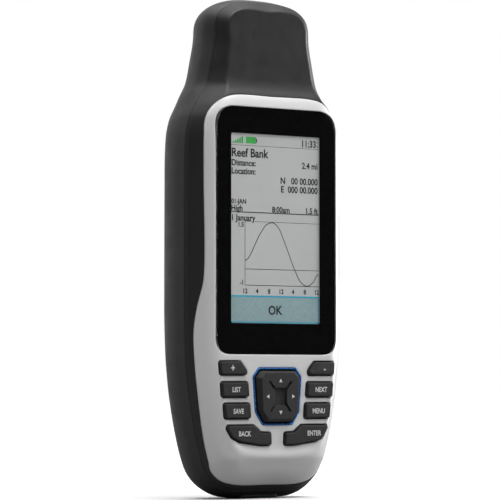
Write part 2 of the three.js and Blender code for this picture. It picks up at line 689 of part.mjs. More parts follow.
function makeAntennaSocket() {
  const { x, z, radius, bore, pin, back } = SOCKET;
  const front = PORT_BOARD.back + 0.2;
  const barrel = solid(rod(x, z, radius, front, back, 16));
  const hollow = solid(rod(x, z, bore, back - 2.6, BEHIND, 12));
  return barrel.subtract(hollow).add(solid(rod(x, z, pin, front + 1, back - 0.6, 6)));
}

class Helix extends THREE.Curve {
  constructor(radius, height, turns, phase) {
    super();
    Object.assign(this, { radius, height, turns, phase });
  }

  getPoint(t) {
    const angle = this.phase + 2 * Math.PI * this.turns * t;
    const [x, y] = [this.radius * Math.cos(angle), this.radius * Math.sin(angle)];
    return new THREE.Vector3(x, y, this.height * t);
  }
}

function swept(outline, curve, steps) {
  const shape = new THREE.Shape(vectors(outline));
  return new THREE.ExtrudeGeometry(shape, { steps, extrudePath: curve });
}

// Regular polygon for the cross-section of a wire.
function wireSection(radius, sides) {
  return Array.from({ length: sides }, (_, i) => {
    const angle = (2 * Math.PI * i) / sides;
    return [radius * Math.cos(angle), radius * Math.sin(angle)];
  });
}

function tube(bottom, top, inside, outside, sides = 20) {
  const section = rectangle(inside, outside, bottom, top);
  return new THREE.LatheGeometry(vectors([...section, section[0]]), sides).rotateX(Math.PI / 2);
}

const makeAntennaCore = () => post(0, ANTENNA.depth, ANTENNA.core, ANTENNA.bottom, ANTENNA.top, 20);

// Four wound conductors joined by a ring at each end.
function makeAntennaHelix() {
  const inside = ANTENNA.core + GAP;
  const height = ANTENNA.top - ANTENNA.bottom;
  const ribbon = rectangle(-0.4, 0.4, -0.4, 0.4);
  const arms = [0, 1, 2, 3].map((arm) => {
    const path = new Helix(inside + 0.65, height - 1.6, 0.5, (arm * Math.PI) / 2);
    return solid(swept(ribbon, path, 6).translate(0, 0, 0.8));
  });
  const rings = [[0, 1.4], [height - 1.4, height]].map(([low, high]) => (
    solid(tube(low, high, inside, inside + 0.9, 16))
  ));
  return joinAll([...rings, ...arms]).translate(0, at(ANTENNA.depth), ANTENNA.bottom);
}

function makeAntennaBoard() {
  const top = ANTENNA.bottom - GAP;
  return post(0, ANTENNA.depth, ANTENNA.board, top - ANTENNA.boardThickness, top, 20);
}

// Plastic step that carries the antenna board above the main board.
function makeAntennaBracket() {
  const { front, back, legHalf, shelfHalf, bottom, top } = BRACKET;
  const shelf = solid(box(-shelfHalf, shelfHalf, front, back, top - 1.7, top));
  const leg = solid(box(-legHalf, legHalf, front, front + 2, bottom, top - 1.5));
  return shelf.add(leg);
}

// ---------------------------------------------------------------------------------------------
// Batteries and contacts
// ---------------------------------------------------------------------------------------------

// AA cell standing on its flat end; turned over when it points down.
function makeCell(x, low, pointsUp) {
  const { radius, length } = CELL;
  const [rim, nub, shoulder] = [radius - 0.65, 2.75, length - 1.3];
  const section = [
    [0, 0],
    [rim, 0],
    [radius, 0.5],
    [radius, shoulder - 0.6],
    [rim, shoulder],
    [nub, shoulder],
    [nub, length],
    [0, length],
  ];
  const geometry = new THREE.LatheGeometry(vectors(section), 18).rotateX(Math.PI / 2);
  if (!pointsUp) geometry.translate(0, 0, -CELL.length).rotateX(Math.PI);
  return geometry.translate(x, at(CELL.depth), low);
}

const makeContact = (left, right) => (
  box(left, right, CONTACT.front, CONTACT.back, CONTACT.bottom, CONTACT.top)
);

function makeSpring(x, low, high) {
  const coil = new Helix(3.4, high - low - 0.9, 2.25, 0);
  return swept(wireSection(0.4, 6), coil, 27).translate(x, at(CELL.depth), low + 0.45);
}

// ---------------------------------------------------------------------------------------------
// Back: door, latch, rail and weather cap
// ---------------------------------------------------------------------------------------------

function makeBatteryDoor() {
  const panel = outer.intersect(sunkFromBack(doorOutline, DOOR.inner));
  const cup = solid(rod(0, LATCH.z, LATCH.cup + 1.4, 25.2, DOOR.inner + 0.5, 24));
  const tabs = [-1, 1].map((side) => (
    solid(box(side * 9 - 3, side * 9 + 3, 24.5, DOOR.inner + 0.4, 89.9, 91.2))
  ));
  return cutAll(joinAll([panel, cup, ...tabs]), [
    solid(rod(0, LATCH.z, LATCH.cup, 26.6, BEHIND, 28)),
    solid(rod(0, LATCH.z, LATCH.shaft + GAP, 20, BEHIND, 16)),
  ]);
}

const RING_BAR = { depth: 28.6, z: LATCH.z + 2.6, half: 4.9 };
const EAR = { x: 2.5, halfWidth: 0.9, halfHeight: 1.35, front: 27.5, back: 29.5 };

function makeLatchRotor() {
  const disc = solid(rod(0, LATCH.z, LATCH.disc, 26.9, 27.6, 28));
  const shaft = solid(rod(0, LATCH.z, LATCH.shaft, 23.7, 27, 16));
  const ears = [-EAR.x, EAR.x].map((x) => {
    const [low, high] = [RING_BAR.z - EAR.halfHeight, RING_BAR.z + EAR.halfHeight];
    return solid(box(x - EAR.halfWidth, x + EAR.halfWidth, EAR.front, EAR.back, low, high));
  });
  const bore = new THREE.CylinderGeometry(LATCH.wire + GAP, LATCH.wire + GAP, 12, 12)
    .rotateZ(Math.PI / 2)
    .translate(0, at(RING_BAR.depth), RING_BAR.z);
  return cutAll(joinAll([disc, shaft, ...ears]), [
    solid(bore),
    solid(rod(0, LATCH.z, 1.3, 20, 25.4, 10)),
  ]);
}

// Wing that turns under the housing edge, held on the shaft by the latch screw.
function makeLatchCam() {
  const outline = rounded(rectangle(-7, 7, LATCH.z - 3.3, LATCH.z + 3.3), 2.6, 3);
  const bore = rod(0, LATCH.z, LATCH.shaft + GAP, 0, BEHIND, 16);
  return solid(slab(outline, 23.7, 24.9)).subtract(solid(bore));
}

const makeLatchScrew = () => solid(rod(0, LATCH.z, 2.9, 22.4, 23.4, 16))
  .add(solid(rod(0, LATCH.z, 1, 23.3, 25, 10)));

// Half-round wire loop closed by the straight bar that it turns on.
function makeDRing() {
  const path = new THREE.CatmullRomCurve3([], true, 'centripetal');
  const bendCentre = LATCH.z - 0.9;
  for (let i = 0; i <= 6; i += 1) {
    const angle = -(Math.PI * i) / 6;
    const x = RING_BAR.half * Math.cos(angle);
    path.points.push(new THREE.Vector3(x, 0, bendCentre + RING_BAR.half * Math.sin(angle)));
  }
  const corner = RING_BAR.half - 0.9;
  path.points.push(new THREE.Vector3(-RING_BAR.half, 0, RING_BAR.z - 1));
  [-corner, 0, corner].forEach((x) => path.points.push(new THREE.Vector3(x, 0, RING_BAR.z)));
  path.points.push(new THREE.Vector3(RING_BAR.half, 0, RING_BAR.z - 1));
  return swept(wireSection(LATCH.wire, 8), path, 30).translate(0, at(RING_BAR.depth), 0);
}

// T-section rail for a belt clip, set in its pocket.
function makeMountingRail() {
  const { neck, head, step, back, bottom, top } = RAIL;
  const stem = solid(box(-neck, neck, RAIL_POCKET.floor + GAP, step + 0.1, bottom, top));
  return stem.add(solid(box(-head, head, step, back, bottom, top)));
}

// Rubber flap with a round hinge edge along its foot.
function makeWeatherCap() {
  const { depth, z, radius } = CAP_HINGE;
  const halfWidth = PORT.halfWidth - 0.4;
  const flap = slab(
    rounded(rectangle(-halfWidth, halfWidth, z, PORT.top - 0.4), [0.01, 0.01, 1.6, 1.6], 2),
    depth - radius,
    depth + radius,
  );
  const barrel = new THREE.CylinderGeometry(radius, radius, 2 * halfWidth, 16)
    .rotateZ(Math.PI / 2)
    .translate(0, at(depth), z);
  return solid(flap).add(solid(barrel));
}

function makeScrew(x, z) {
  const head = solid(rod(x, z, SCREW.head, SCREW.headFront, SCREW.headBack, 12));
  const shaft = solid(rod(x, z, SCREW.shaft, SCREW.tip, SCREW.headFront + 0.1, 8));
  const socket = solid(rod(x, z, 1.1, SCREW.headBack - 0.8, BEHIND, 6));
  return head.add(shaft).subtract(socket);
}

// ---------------------------------------------------------------------------------------------
// Assembly
// ---------------------------------------------------------------------------------------------

const FINISHES = {
  blackPlastic: [0x2a2b2c, 0.6, 0],
  rubber: [0x3a3b3c, 0.8, 0],
  plate: [0xdcdde0, 0.35, 0.1],
  glass: [0x08090a, 0.05, 0],
  seal: [0x1d1e20, 0.9, 0],
  screen: [0xc4c8c4, 0.4, 0],
  key: [0x3b3c3e, 0.7, 0],
  ring: [0x2b62b8, 0.25, 0.6],
  silicone: [0x4a4c50, 0.85, 0],
  board: [0x1f5a3a, 0.55, 0.1],
  steel: [0xb4b6b8, 0.3, 1],
  gold: [0xc9a24a, 0.3, 1],
  ceramic: [0xd8d3c4, 0.5, 0],
  nylon: [0x55585c, 0.6, 0],
  cell: [0x6f7a86, 0.35, 0.6],
};

const navigator = new THREE.Group();

function place(name, shape, finish) {
  const [color, roughness, metalness] = FINISHES[finish];
  const material = new THREE.MeshStandardMaterial({ color, roughness, metalness });
  const geometry = shape.isBufferGeometry ? shape : geometryOf(shape);
  const mesh = new THREE.Mesh(geometry, material);
  mesh.name = name;
  navigator.add(mesh);
}

place('rear_housing', makeRearHousing(), 'rubber');
place('front_housing', makeFrontHousing(), 'blackPlastic');
place('face_plate', makeFacePlate(), 'plate');
place('housing_seal', makeHousingSeal(), 'seal');
screwPlaces.forEach(([x, z], i) => place(`housing_screw_${i + 1}`, makeScrew(x, z), 'steel'));

place('display_lens', makeLens(), 'glass');
place('lens_gasket', makeLensGasket(), 'seal');
place('lcd_panel', makeLcdPanel(), 'screen');
place('lcd_frame', makeLcdFrame(), 'steel');

Object.entries(KEYS).forEach(([name, key]) => place(name, makeKey(key), 'key'));
place('rocker_cap', makeRockerCap(), 'key');
place('rocker_ring', makeRockerRing(), 'ring');
place('rocker_pivot', makeRockerPivot(), 'nylon');
place('keypad_mat', makeKeypadMat(), 'silicone');
place('dome_sheet', makeDomeSheet(), 'steel');

place('main_board', makeMainBoard(), 'board');
place('shield_can', makeShieldCan(), 'steel');
place('card_slot', makeCardSlot(), 'steel');
place('buzzer', makeBuzzer(), 'nylon');
place('power_key', makePowerKey(), 'key');
place('power_switch', makePowerSwitch(), 'nylon');
place('port_board', makePortBoard(), 'board');
place('usb_port', makeUsbPort(), 'steel');
place('antenna_socket', makeAntennaSocket(), 'gold');
place('antenna_core', makeAntennaCore(), 'ceramic');
place('antenna_helix', makeAntennaHelix(), 'gold');
place('antenna_board', makeAntennaBoard(), 'board');
place('antenna_bracket', makeAntennaBracket(), 'nylon');

place('battery_left', makeCell(-CELL.x, CELL_LEFT_LOW, true), 'cell');
place('battery_right', makeCell(CELL.x, CELL_RIGHT_LOW, false), 'cell');
place('spring_left', makeSpring(-CELL.x, BAY.bottom + 2, CELL_LEFT_LOW - 0.1), 'steel');
place('spring_right', makeSpring(CELL.x, CELL_RIGHT_LOW + 0.1 + CELL.length, 90.2), 'steel');
place('bridge_contact', box(-13, 13, CONTACT.front, 25, BAY.bottom + 1, BAY.bottom + 1.6), 'steel');
place('positive_contact', makeContact(-CONTACT.outer, -CONTACT.inner), 'steel');
place('negative_contact', makeContact(CONTACT.inner, CONTACT.outer), 'steel');

place('battery_door', makeBatteryDoor(), 'rubber');
place('door_seal', makeDoorSeal(), 'seal');
place('latch_rotor', makeLatchRotor(), 'steel');
place('latch_cam', makeLatchCam(), 'steel');
place('latch_screw', makeLatchScrew(), 'steel');
place('d_ring', makeDRing(), 'steel');
place('mounting_rail', makeMountingRail(), 'blackPlastic');
place('weather_cap', makeWeatherCap(), 'rubber');

export default navigator;
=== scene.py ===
import json
import math

import bmesh
import bpy
import numpy as np
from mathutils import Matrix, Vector
from mathutils.geometry import delaunay_2d_cdt


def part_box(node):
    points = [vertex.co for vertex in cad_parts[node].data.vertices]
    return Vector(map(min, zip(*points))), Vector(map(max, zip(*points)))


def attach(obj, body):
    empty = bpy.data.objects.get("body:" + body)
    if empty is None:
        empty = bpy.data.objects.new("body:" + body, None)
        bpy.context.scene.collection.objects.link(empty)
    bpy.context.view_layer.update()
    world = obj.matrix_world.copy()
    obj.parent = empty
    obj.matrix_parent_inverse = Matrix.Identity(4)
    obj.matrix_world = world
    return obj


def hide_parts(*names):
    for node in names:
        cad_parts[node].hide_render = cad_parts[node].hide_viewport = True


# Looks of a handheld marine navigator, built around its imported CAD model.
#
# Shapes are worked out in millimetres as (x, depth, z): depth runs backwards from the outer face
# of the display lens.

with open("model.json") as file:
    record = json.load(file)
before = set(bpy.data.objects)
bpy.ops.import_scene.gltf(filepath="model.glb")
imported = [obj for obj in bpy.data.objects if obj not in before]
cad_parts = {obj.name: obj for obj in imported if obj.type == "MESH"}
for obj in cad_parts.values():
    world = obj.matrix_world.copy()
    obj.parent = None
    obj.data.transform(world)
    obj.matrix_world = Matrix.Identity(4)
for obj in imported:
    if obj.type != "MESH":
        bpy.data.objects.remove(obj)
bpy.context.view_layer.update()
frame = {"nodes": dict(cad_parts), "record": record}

MM = 0.001
LENS_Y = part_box("display_lens")[0].y / MM

# ---------------------------------------------------------------------------------------------
# Housing dimensions
# ---------------------------------------------------------------------------------------------

HEIGHT = 169
WIDEST = 13                     # depth at which the housing is widest
FRONT_SHOULDER = 10.5
BACK_SHOULDER = 16
BOTTOM_CAP = (12.8, 4)          # height and superellipse power of the rounded ends
TOP_CAP = (12.5, 2.7)
SPINE = (16, 156)               # the shell is rounded about a line between these heights
PARTING = 8
HALF_GAP = 0.05
LIP = 0.12                      # rounding of the two shells where they meet
PLATE_GAP = 0.3
PLATE_THICKNESS = 1.5
FRONT_WALL = 3.3

SIDE = [
    (0, 22.2), (8, 24.8), (16, 27.4), (26, 29.9), (38, 32), (50, 33.1), (64, 33.5), (112, 33.4),
    (121, 33), (127, 31.7), (132, 29.1), (136, 27), (140, 24.8), (146, 23.3), (157, 21.5),
    (169, 21.9),
]
FRONT = [
    (0, 7.2), (4.5, 5), (10, 1.8), (14.5, 0), (130, 0), (133, 0.6), (135.4, 1.5), (138, 2.9),
    (141.5, 3.9), (151, 4.5), (161, 5.1), (169, 5.3),
]
BACK = [(0, 22), (5, 27), (12, 29.7), (148, 29.7), (160, 29.2), (169, 28.5)]

HEAD_START, HEAD_FULL = 131, 139       # heights between which the head's faceted section fades in
CREASE_DEPTH = 8                       # where the side meets the flat band in front of it
BODY_CREASE = {"travel": 0.5, "band": 0.7, "flank": 0.75}
HEAD_CREASE = {"travel": 1.4, "band": 1.09, "flank": 0.8}

PLATE_HALF = [
    (0, 4.6), (14, 4.9), (19.5, 6.4), (23, 9.4), (24.6, 13.4), (26.5, 20), (29, 33.2), (30.6, 46.4),
    (31, 56), (30.4, 64), (29.2, 72), (28.9, 79), (28.9, 119), (28.1, 126.1), (26.5, 129.6),
    (23.2, 133), (18, 135), (0, 135.3),
]
POD_HALF = [
    (0, 14.4), (6.4, 14.6), (14.6, 15.5), (18.6, 17.9), (21.3, 22.2), (23.3, 30.1), (25, 40.6),
    (25.9, 48.5), (26.3, 56),
]
LENS = {"half": 25.67, "bottom": 48.4, "top": 131.3, "corners": (5.6, 5.6, 7.6, 7.6)}
VIEW = {"half": 19.05, "bottom": 58.85, "top": 122.35}

KEY_OUTLINES = {
    "zoom": [(24.4, 41.55), (24.75, 46.1), (15.8, 46.1), (13.1, 43), (13.1, 41.55)],
    "upper": [(23.65, 34.15), (24.1, 39.2), (12.65, 39.2), (12.2, 34.15)],
    "middle": [(22.4, 26.95), (23, 32.1), (11.8, 32.1), (11.4, 26.95)],
    "lower": [
        (2.7, 18), (7.2, 18), (16.4, 19.2), (19.7, 20.6), (21.6, 23.5), (21.4, 24.8), (10.1, 24.8),
        (7, 22.4), (2.9, 22.3),
    ],
}
# node: outline, side, legend, legend height, legend centre
KEYS = {
    "zoom_in_key": ("zoom", -1, "+", 2.6, (-19.6, 43.9)),
    "zoom_out_key": ("zoom", 1, "-", 2.6, (19.9, 43.9)),
    "find_key": ("upper", -1, "LIST", 1.7, (-18.1, 36.7)),
    "page_key": ("upper", 1, "NEXT", 1.7, (18.3, 36.7)),
    "mark_key": ("middle", -1, "SAVE", 1.7, (-17.2, 29.5)),
    "menu_key": ("middle", 1, "MENU", 1.7, (17.2, 29.5)),
    "quit_key": ("lower", -1, "BACK", 1.7, (-14.6, 22.0)),
    "enter_key": ("lower", 1, "ENTER", 1.7, (15.2, 22.0)),
}
KEY_FACE = -0.95                # depth of the key tops, which stand proud of the lens
ROCKER_FACE = -1.86
POWER_KEY = {"half_depth": 2.4, "half_height": 5.2, "corner": 2.2, "thickness": 3.6, "gap": 0.2}
POWER_KEY_HOLE = (36, 28.8)     # how far out its opening starts and ends, past the key's travel

DOOR = {"half": 20.5, "bottom": 12, "top": 95.5, "corner": 5, "inner": 28.1}
BAY = {"half": 15.6, "bottom": 34, "top": 91.6, "floor": 12}
LEDGE = 27.8
LATCH_Z = 21.5
LATCH_CUP = 6.9
RAIL_POCKET = (-8.3, 8.3, 98.5, 116.5)
PORT_POCKET = (-10.6, 10.6, 118.6, 132.2)
SCREWS = [(24, 30), (24.4, 100), (13.5, 146)]
RAIL = {"neck": 5, "head": 7, "bottom": 99.5, "top": 115.5, "root": 26.9, "step": 28, "back": 29.5}
DIMPLE = {"radius": 2.1, "depth": 0.8}
CAP = {"half": 10.2, "hinge": 120.2, "top": 131.8, "front": 27, "back": 29.3, "barrel": 1.3}
CAP_RIDGES = ((128.6, 130.2, 4.4), (123.4, 123.9, 8.4), (122.4, 122.9, 8.4))
CAP_BARREL = ((-1, 0.8), (-0.98, 0.94), (-0.95, 1), (0.95, 1), (0.98, 0.94), (1, 0.8))
LATCH = {"disc": 6.6, "shaft": 2.2, "tip": 23.7, "front": 26.9, "back": 27.6}
EAR = {"x": 2.5, "half": 0.9, "tall": 1.35, "front": 27.5, "back": 29.5}
D_RING = {"depth": 28.6, "bar": 24.1, "bend": 20.6, "half": 4.9, "wire": 0.75}
# radius and depth, from the tip of the shaft to the edge of the socket
SCREW_SECTION = [
    (1.25, 5.8), (1.25, 21.3), (2.35, 21.3), (2.35, 22.3), (2.25, 22.55), (2.0, 22.7), (1.6, 22.78),
    (1.35, 22.8),
]
SCREW_SOCKET = ((1.02, 22.74), (0.95, 21.9))       # half width across flats, and depth


# ---------------------------------------------------------------------------------------------
# Curves and outlines
# ---------------------------------------------------------------------------------------------

def monotone(points):
    """Monotone cubic through (position, value) pairs, held level beyond the ends."""
    xs, ys = np.array(points, float).T
    slope = np.diff(ys) / np.diff(xs)
    product = slope[:-1] * slope[1:]
    tangent = np.zeros(len(xs))
    rising = product > 0
    tangent[1:-1][rising] = 2 * product[rising] / (slope[:-1] + slope[1:])[rising]

    def value(t):
        t = np.clip(t, xs[0], xs[-1])
        i = np.clip(np.searchsorted(xs, t) - 1, 0, len(xs) - 2)
        span = xs[i + 1] - xs[i]
        u = (t - xs[i]) / span
        lean = span * (tangent[i] * u * (1 - u) ** 2 - tangent[i + 1] * u * u * (1 - u))
        return ys[i] + (ys[i + 1] - ys[i]) * u * u * (3 - 2 * u) + lean

    return value


def smoothstep(low, high, t):
    u = np.clip((t - low) / (high - low), 0, 1)
    return u * u * (3 - 2 * u)


def smooth_max(a, b, radius):
    """The larger of two heights with the corner between them rounded."""
    near = np.clip(radius - np.abs(a - b), 0, None)
    return np.maximum(a, b) + near * near / (4 * radius)


def resample(points, spacing, closed=True):
    """Points about one spacing apart along a polyline."""
    points = np.asarray(points, float)
    if closed:
        points = np.vstack([points, points[:1]])
    steps = np.hypot(*np.diff(points, axis=0).T)
    along = np.concatenate([[0], np.cumsum(steps)])
    count = max(3, round(along[-1] / spacing))
    places = np.linspace(0, along[-1], count + 1)
    if closed:
        places = places[:-1]
    return np.column_stack([np.interp(places, along, points[:, k]) for k in (0, 1)])


def mirrored(half):
    """A closed outline, anticlockwise, from its right half that runs upwards."""
    half = np.asarray(half, float)
    left = half[::-1] * (-1, 1)
    keep = np.abs(left[:, 0]) > 1e-9
    return np.vstack([half, left[keep]])


def smooth_half(points, per_span=8):
    """Centripetal Catmull-Rom spline through the points of a right half that meets its mirror."""
    points = np.asarray(points, float)
    ends = (points[1] * (-1, 1), points[-2] * (-1, 1))
    padded = np.vstack([ends[0], points, ends[1]])
    out = [points[0]]
    for a, b, c, d in zip(padded, padded[1:], padded[2:], padded[3:]):
        t1 = np.sqrt(np.linalg.norm(b - a))
        t2 = t1 + np.sqrt(np.linalg.norm(c - b))
        t3 = t2 + np.sqrt(np.linalg.norm(d - c))
        for u in np.linspace(0, 1, per_span + 1)[1:]:
            t = t1 + u * (t2 - t1)
            ab = a + (b - a) * t / t1
            bc = b + (c - b) * (t - t1) / (t2 - t1)
            cd = c + (d - c) * (t - t2) / (t3 - t2)
            abc = ab + (bc - ab) * t / t2
            bcd = bc + (cd - bc) * (t - t1) / (t3 - t1)
            out.append(abc + (bcd - abc) * (t - t1) / (t2 - t1))
    return np.array(out)


def rounded(corners, radii, steps=8):
    """A closed polygon with each corner rounded."""
    corners = np.asarray(corners, float)
    radii = np.broadcast_to(radii, len(corners))
    points = []
    for i, here in enumerate(corners):
        before = corners[i - 1] - here
        after = corners[(i + 1) % len(corners)] - here
        lengths = np.linalg.norm(before), np.linalg.norm(after)
        before, after = before / lengths[0], after / lengths[1]
        half = math.acos(np.clip(before @ after, -1, 1)) / 2
        reach = min(radii[i] / math.tan(half), 0.48 * lengths[0], 0.48 * lengths[1])
        start, end = here + before * reach, here + after * reach
        for u in np.linspace(0, 1, steps + 1):
            points.append(start * (1 - u) ** 2 + here * 2 * u * (1 - u) + end * u * u)
    return np.array(points)


def rectangle(left, right, bottom, top):
    return [(left, bottom), (right, bottom), (right, top), (left, top)]


def rounded_box(left, right, bottom, top, corner, spacing):
    """A rectangle with rounded corners and evenly spaced points."""
    return resample(rounded(rectangle(left, right, bottom, top), corner), spacing)


def circle(x, z, radius, sides=40):
    angles = np.linspace(0, 2 * math.pi, sides, endpoint=False)
    return np.column_stack([x + radius * np.cos(angles), z + radius * np.sin(angles)])


def grown(loop, distance):
    """An anticlockwise loop moved outwards along its edge normals."""
    before = loop - np.roll(loop, 1, axis=0)
    after = np.roll(loop, -1, axis=0) - loop
    before /= np.linalg.norm(before, axis=1)[:, None]
    after /= np.linalg.norm(after, axis=1)[:, None]
    normal = np.column_stack([before[:, 1] + after[:, 1], -before[:, 0] - after[:, 0]])
    normal /= np.linalg.norm(normal, axis=1)[:, None]
    stretch = 1 / np.clip(normal[:, 0] * before[:, 1] - normal[:, 1] * before[:, 0], 0.5, None)
    return loop + normal * (distance * stretch)[:, None]


def inside(points, loop):
    """Which of the points lie inside a closed loop."""
    x, z = points[:, 0, None], points[:, 1, None]
    ax, az = loop[:, 0], loop[:, 1]
    bx, bz = np.roll(ax, -1), np.roll(az, -1)
    spans = (az > z) != (bz > z)
    with np.errstate(divide="ignore", invalid="ignore"):
        crossing = ax + (z - az) * (bx - ax) / (bz - az)
    return (spans & (x < crossing)).sum(axis=1) % 2 == 1


def distance_to(points, loop, closed=True):
    """Distance of each point from a polyline."""
    a = loop if closed else loop[:-1]
    b = np.roll(loop, -1, axis=0) if closed else loop[1:]
    best = np.full(len(points), np.inf)
    for start, end in zip(a, b):
        run = end - start
        t = np.clip((points - start) @ run / (run @ run), 0, 1)
        best = np.minimum(best, np.linalg.norm(points - start - t[:, None] * run, axis=1))
    return best


# ---------------------------------------------------------------------------------------------
# Housing surface
# ---------------------------------------------------------------------------------------------

side_width = monotone(SIDE)
front_face = monotone(FRONT)
back_face = monotone(BACK)


def half_outline():
    """Right half of the front-view outline, upwards from the bottom centre."""
    angles = np.linspace(0, math.pi / 2, 160)
    height, power = BOTTOM_CAP
    z = height * (1 - np.cos(angles) ** (2 / power))
    low = np.column_stack([side_width(z) * np.sin(angles) ** (2 / power), z])
    z = np.linspace(height, HEIGHT - TOP_CAP[0], 400)[1:-1]
    middle = np.column_stack([side_width(z), z])
    height, power = TOP_CAP
    z = HEIGHT - height * (1 - np.sin(angles) ** (2 / power))
    high = np.column_stack([side_width(z) * np.cos(angles) ** (2 / power), z])
    half = np.vstack([low, middle, high])
    half[0, 0] = half[-1, 0] = 0
    return half


HALF = half_outline()


def outline(spacing):
    return mirrored(resample(HALF, spacing, closed=False))


def end_radius(height, rows):
    """Distance of the outline from one end of the spine, against the angle from vertical."""
    x, z = HALF[rows].T
    angle = np.arctan2(x, np.abs(z - height))
    order = np.argsort(angle)
    return angle[order], np.hypot(x, z - height)[order]


LOW_END = end_radius(SPINE[0], HALF[:, 1] <= SPINE[0])
HIGH_END = end_radius(SPINE[1], HALF[:, 1] >= SPINE[1])


def travel_and_reach(x, z):
    """How far a point lies in from the outline, and how far the outline is from the spine."""
    across = np.abs(x)
    nearest = np.clip(z, *SPINE)
    angle = np.arctan2(across, np.abs(z - nearest))
    low = np.interp(angle, *LOW_END)
    high = np.interp(angle, *HIGH_END)
    reach = np.where(z < SPINE[0], low, np.where(z > SPINE[1], high, side_width(z)))
    return reach - np.hypot(across, z - nearest), reach


def front_depth(x, z):
    """Depth of the front half of the housing skin."""
    travel, reach = travel_and_reach(x, z)
    travel = np.clip(travel, 0, None)
    shoulder = np.minimum(FRONT_SHOULDER, 0.8 * reach)
    face = front_face(z)
    cosine = np.clip(1 - travel / shoulder, 0, 1)
    curve = WIDEST + (face - WIDEST) * np.sqrt(1 - cosine * cosine)
    head = smoothstep(HEAD_START, HEAD_FULL, z)
    base = curve + (face - curve) * head
    crease, band, flank = (faded(key, head) for key in ("travel", "band", "flank"))
    side = WIDEST - (WIDEST - CREASE_DEPTH) * np.clip(travel / crease, 0, 1) ** flank
    facet = np.where(travel < crease, side, CREASE_DEPTH - (travel - crease) / band)
    corner = smooth_max(base, facet, 0.05 + 0.4 * head) - facet
    section = facet + corner * smoothstep(1.2, 2.2, travel)
    low = smoothstep(5, 14, z)
    return np.clip(curve + (section - curve) * low, None, WIDEST)


def faded(key, head):
    return BODY_CREASE[key] + (HEAD_CREASE[key] - BODY_CREASE[key]) * head


BAND_ROWS = (0.15, 0.4, 0.65, 0.83, 0.92, 1.0, 1.08, 1.17, 1.35)      # shares of the band's width


def front_guides(loop):
    """Rows along both edges of the band that runs round the front of the shell."""
    head = smoothstep(HEAD_START, HEAD_FULL, loop[:, 1])
    start = faded("travel", head)
    width = (CREASE_DEPTH - front_face(loop[:, 1])) * faded("band", head)
    return [drawn_in(loop, start + width * part) for part in BAND_ROWS]


def back_depth(x, z):
    """Depth of the back half of the housing skin."""
    travel, reach = travel_and_reach(x, z)
    shoulder = np.minimum(BACK_SHOULDER, 0.85 * reach)
    cosine = np.clip(1 - travel / shoulder, 0, 1)
    return WIDEST + (back_face(z) - WIDEST) * np.sqrt(1 - cosine * cosine)


POD = smooth_half(POD_HALF)[: -8]
POD_LOOP = mirrored(np.vstack([POD, (0, 60)]))


def plate_depth(x, z):
    """The front skin with a low lip round the keypad, outside which the chin falls away."""
    points = np.column_stack([x, z])
    edge = distance_to(points, np.vstack([POD[::-1] * (-1, 1), POD[1:]]), closed=False)
    signed = np.where(inside(points, POD_LOOP), edge, -edge)
    lip = smoothstep(2.4, 0.5, signed) * smoothstep(-2.6, 0.1, signed)
    fade = 1 - smoothstep(42, 50, z)
    return front_depth(x, z) - 0.4 * lip * fade


def drawn_in(loop, travel):
    """The outline drawn towards the spine."""
    centre = np.column_stack([np.zeros(len(loop)), np.clip(loop[:, 1], *SPINE)])
    away = loop - centre
    reach = np.linalg.norm(away, axis=1)
    return centre + away * ((reach - travel) / reach)[:, None]


def held_behind(loop, depth):
    """The loop drawn in wherever the back skin under it is less deep than it must be."""
    low, high = np.zeros(len(loop)), np.full(len(loop), 9.0)
    for _ in range(30):
        middle = (low + high) / 2
        short = back_depth(*drawn_in(loop, middle).T) < depth
        low, high = np.where(short, middle, low), np.where(short, high, middle)
    needed = back_depth(*loop.T) < depth
    return drawn_in(loop, np.where(needed, high, 0))


def ring_at(loop, depth):
    """The loop on the front skin at one depth, as an outline."""
    low, high = np.zeros(len(loop)), np.full(len(loop), 9.0)
    for _ in range(30):
        middle = (low + high) / 2
        deeper = front_depth(*drawn_in(loop, middle).T) > depth
        low, high = np.where(deeper, middle, low), np.where(deeper, high, middle)
    return drawn_in(loop, low)


# ---------------------------------------------------------------------------------------------
# Mesh building
# ---------------------------------------------------------------------------------------------

def placed(name, data):
    """A new object in the scene."""
    made = bpy.data.objects.new(name, data)
    bpy.context.scene.collection.objects.link(made)
    return made


def raised(loop, depth):
    """An outline given depth: rows of x, depth, z."""
    return np.column_stack([loop[:, 0], np.broadcast_to(depth, len(loop)), loop[:, 1]])


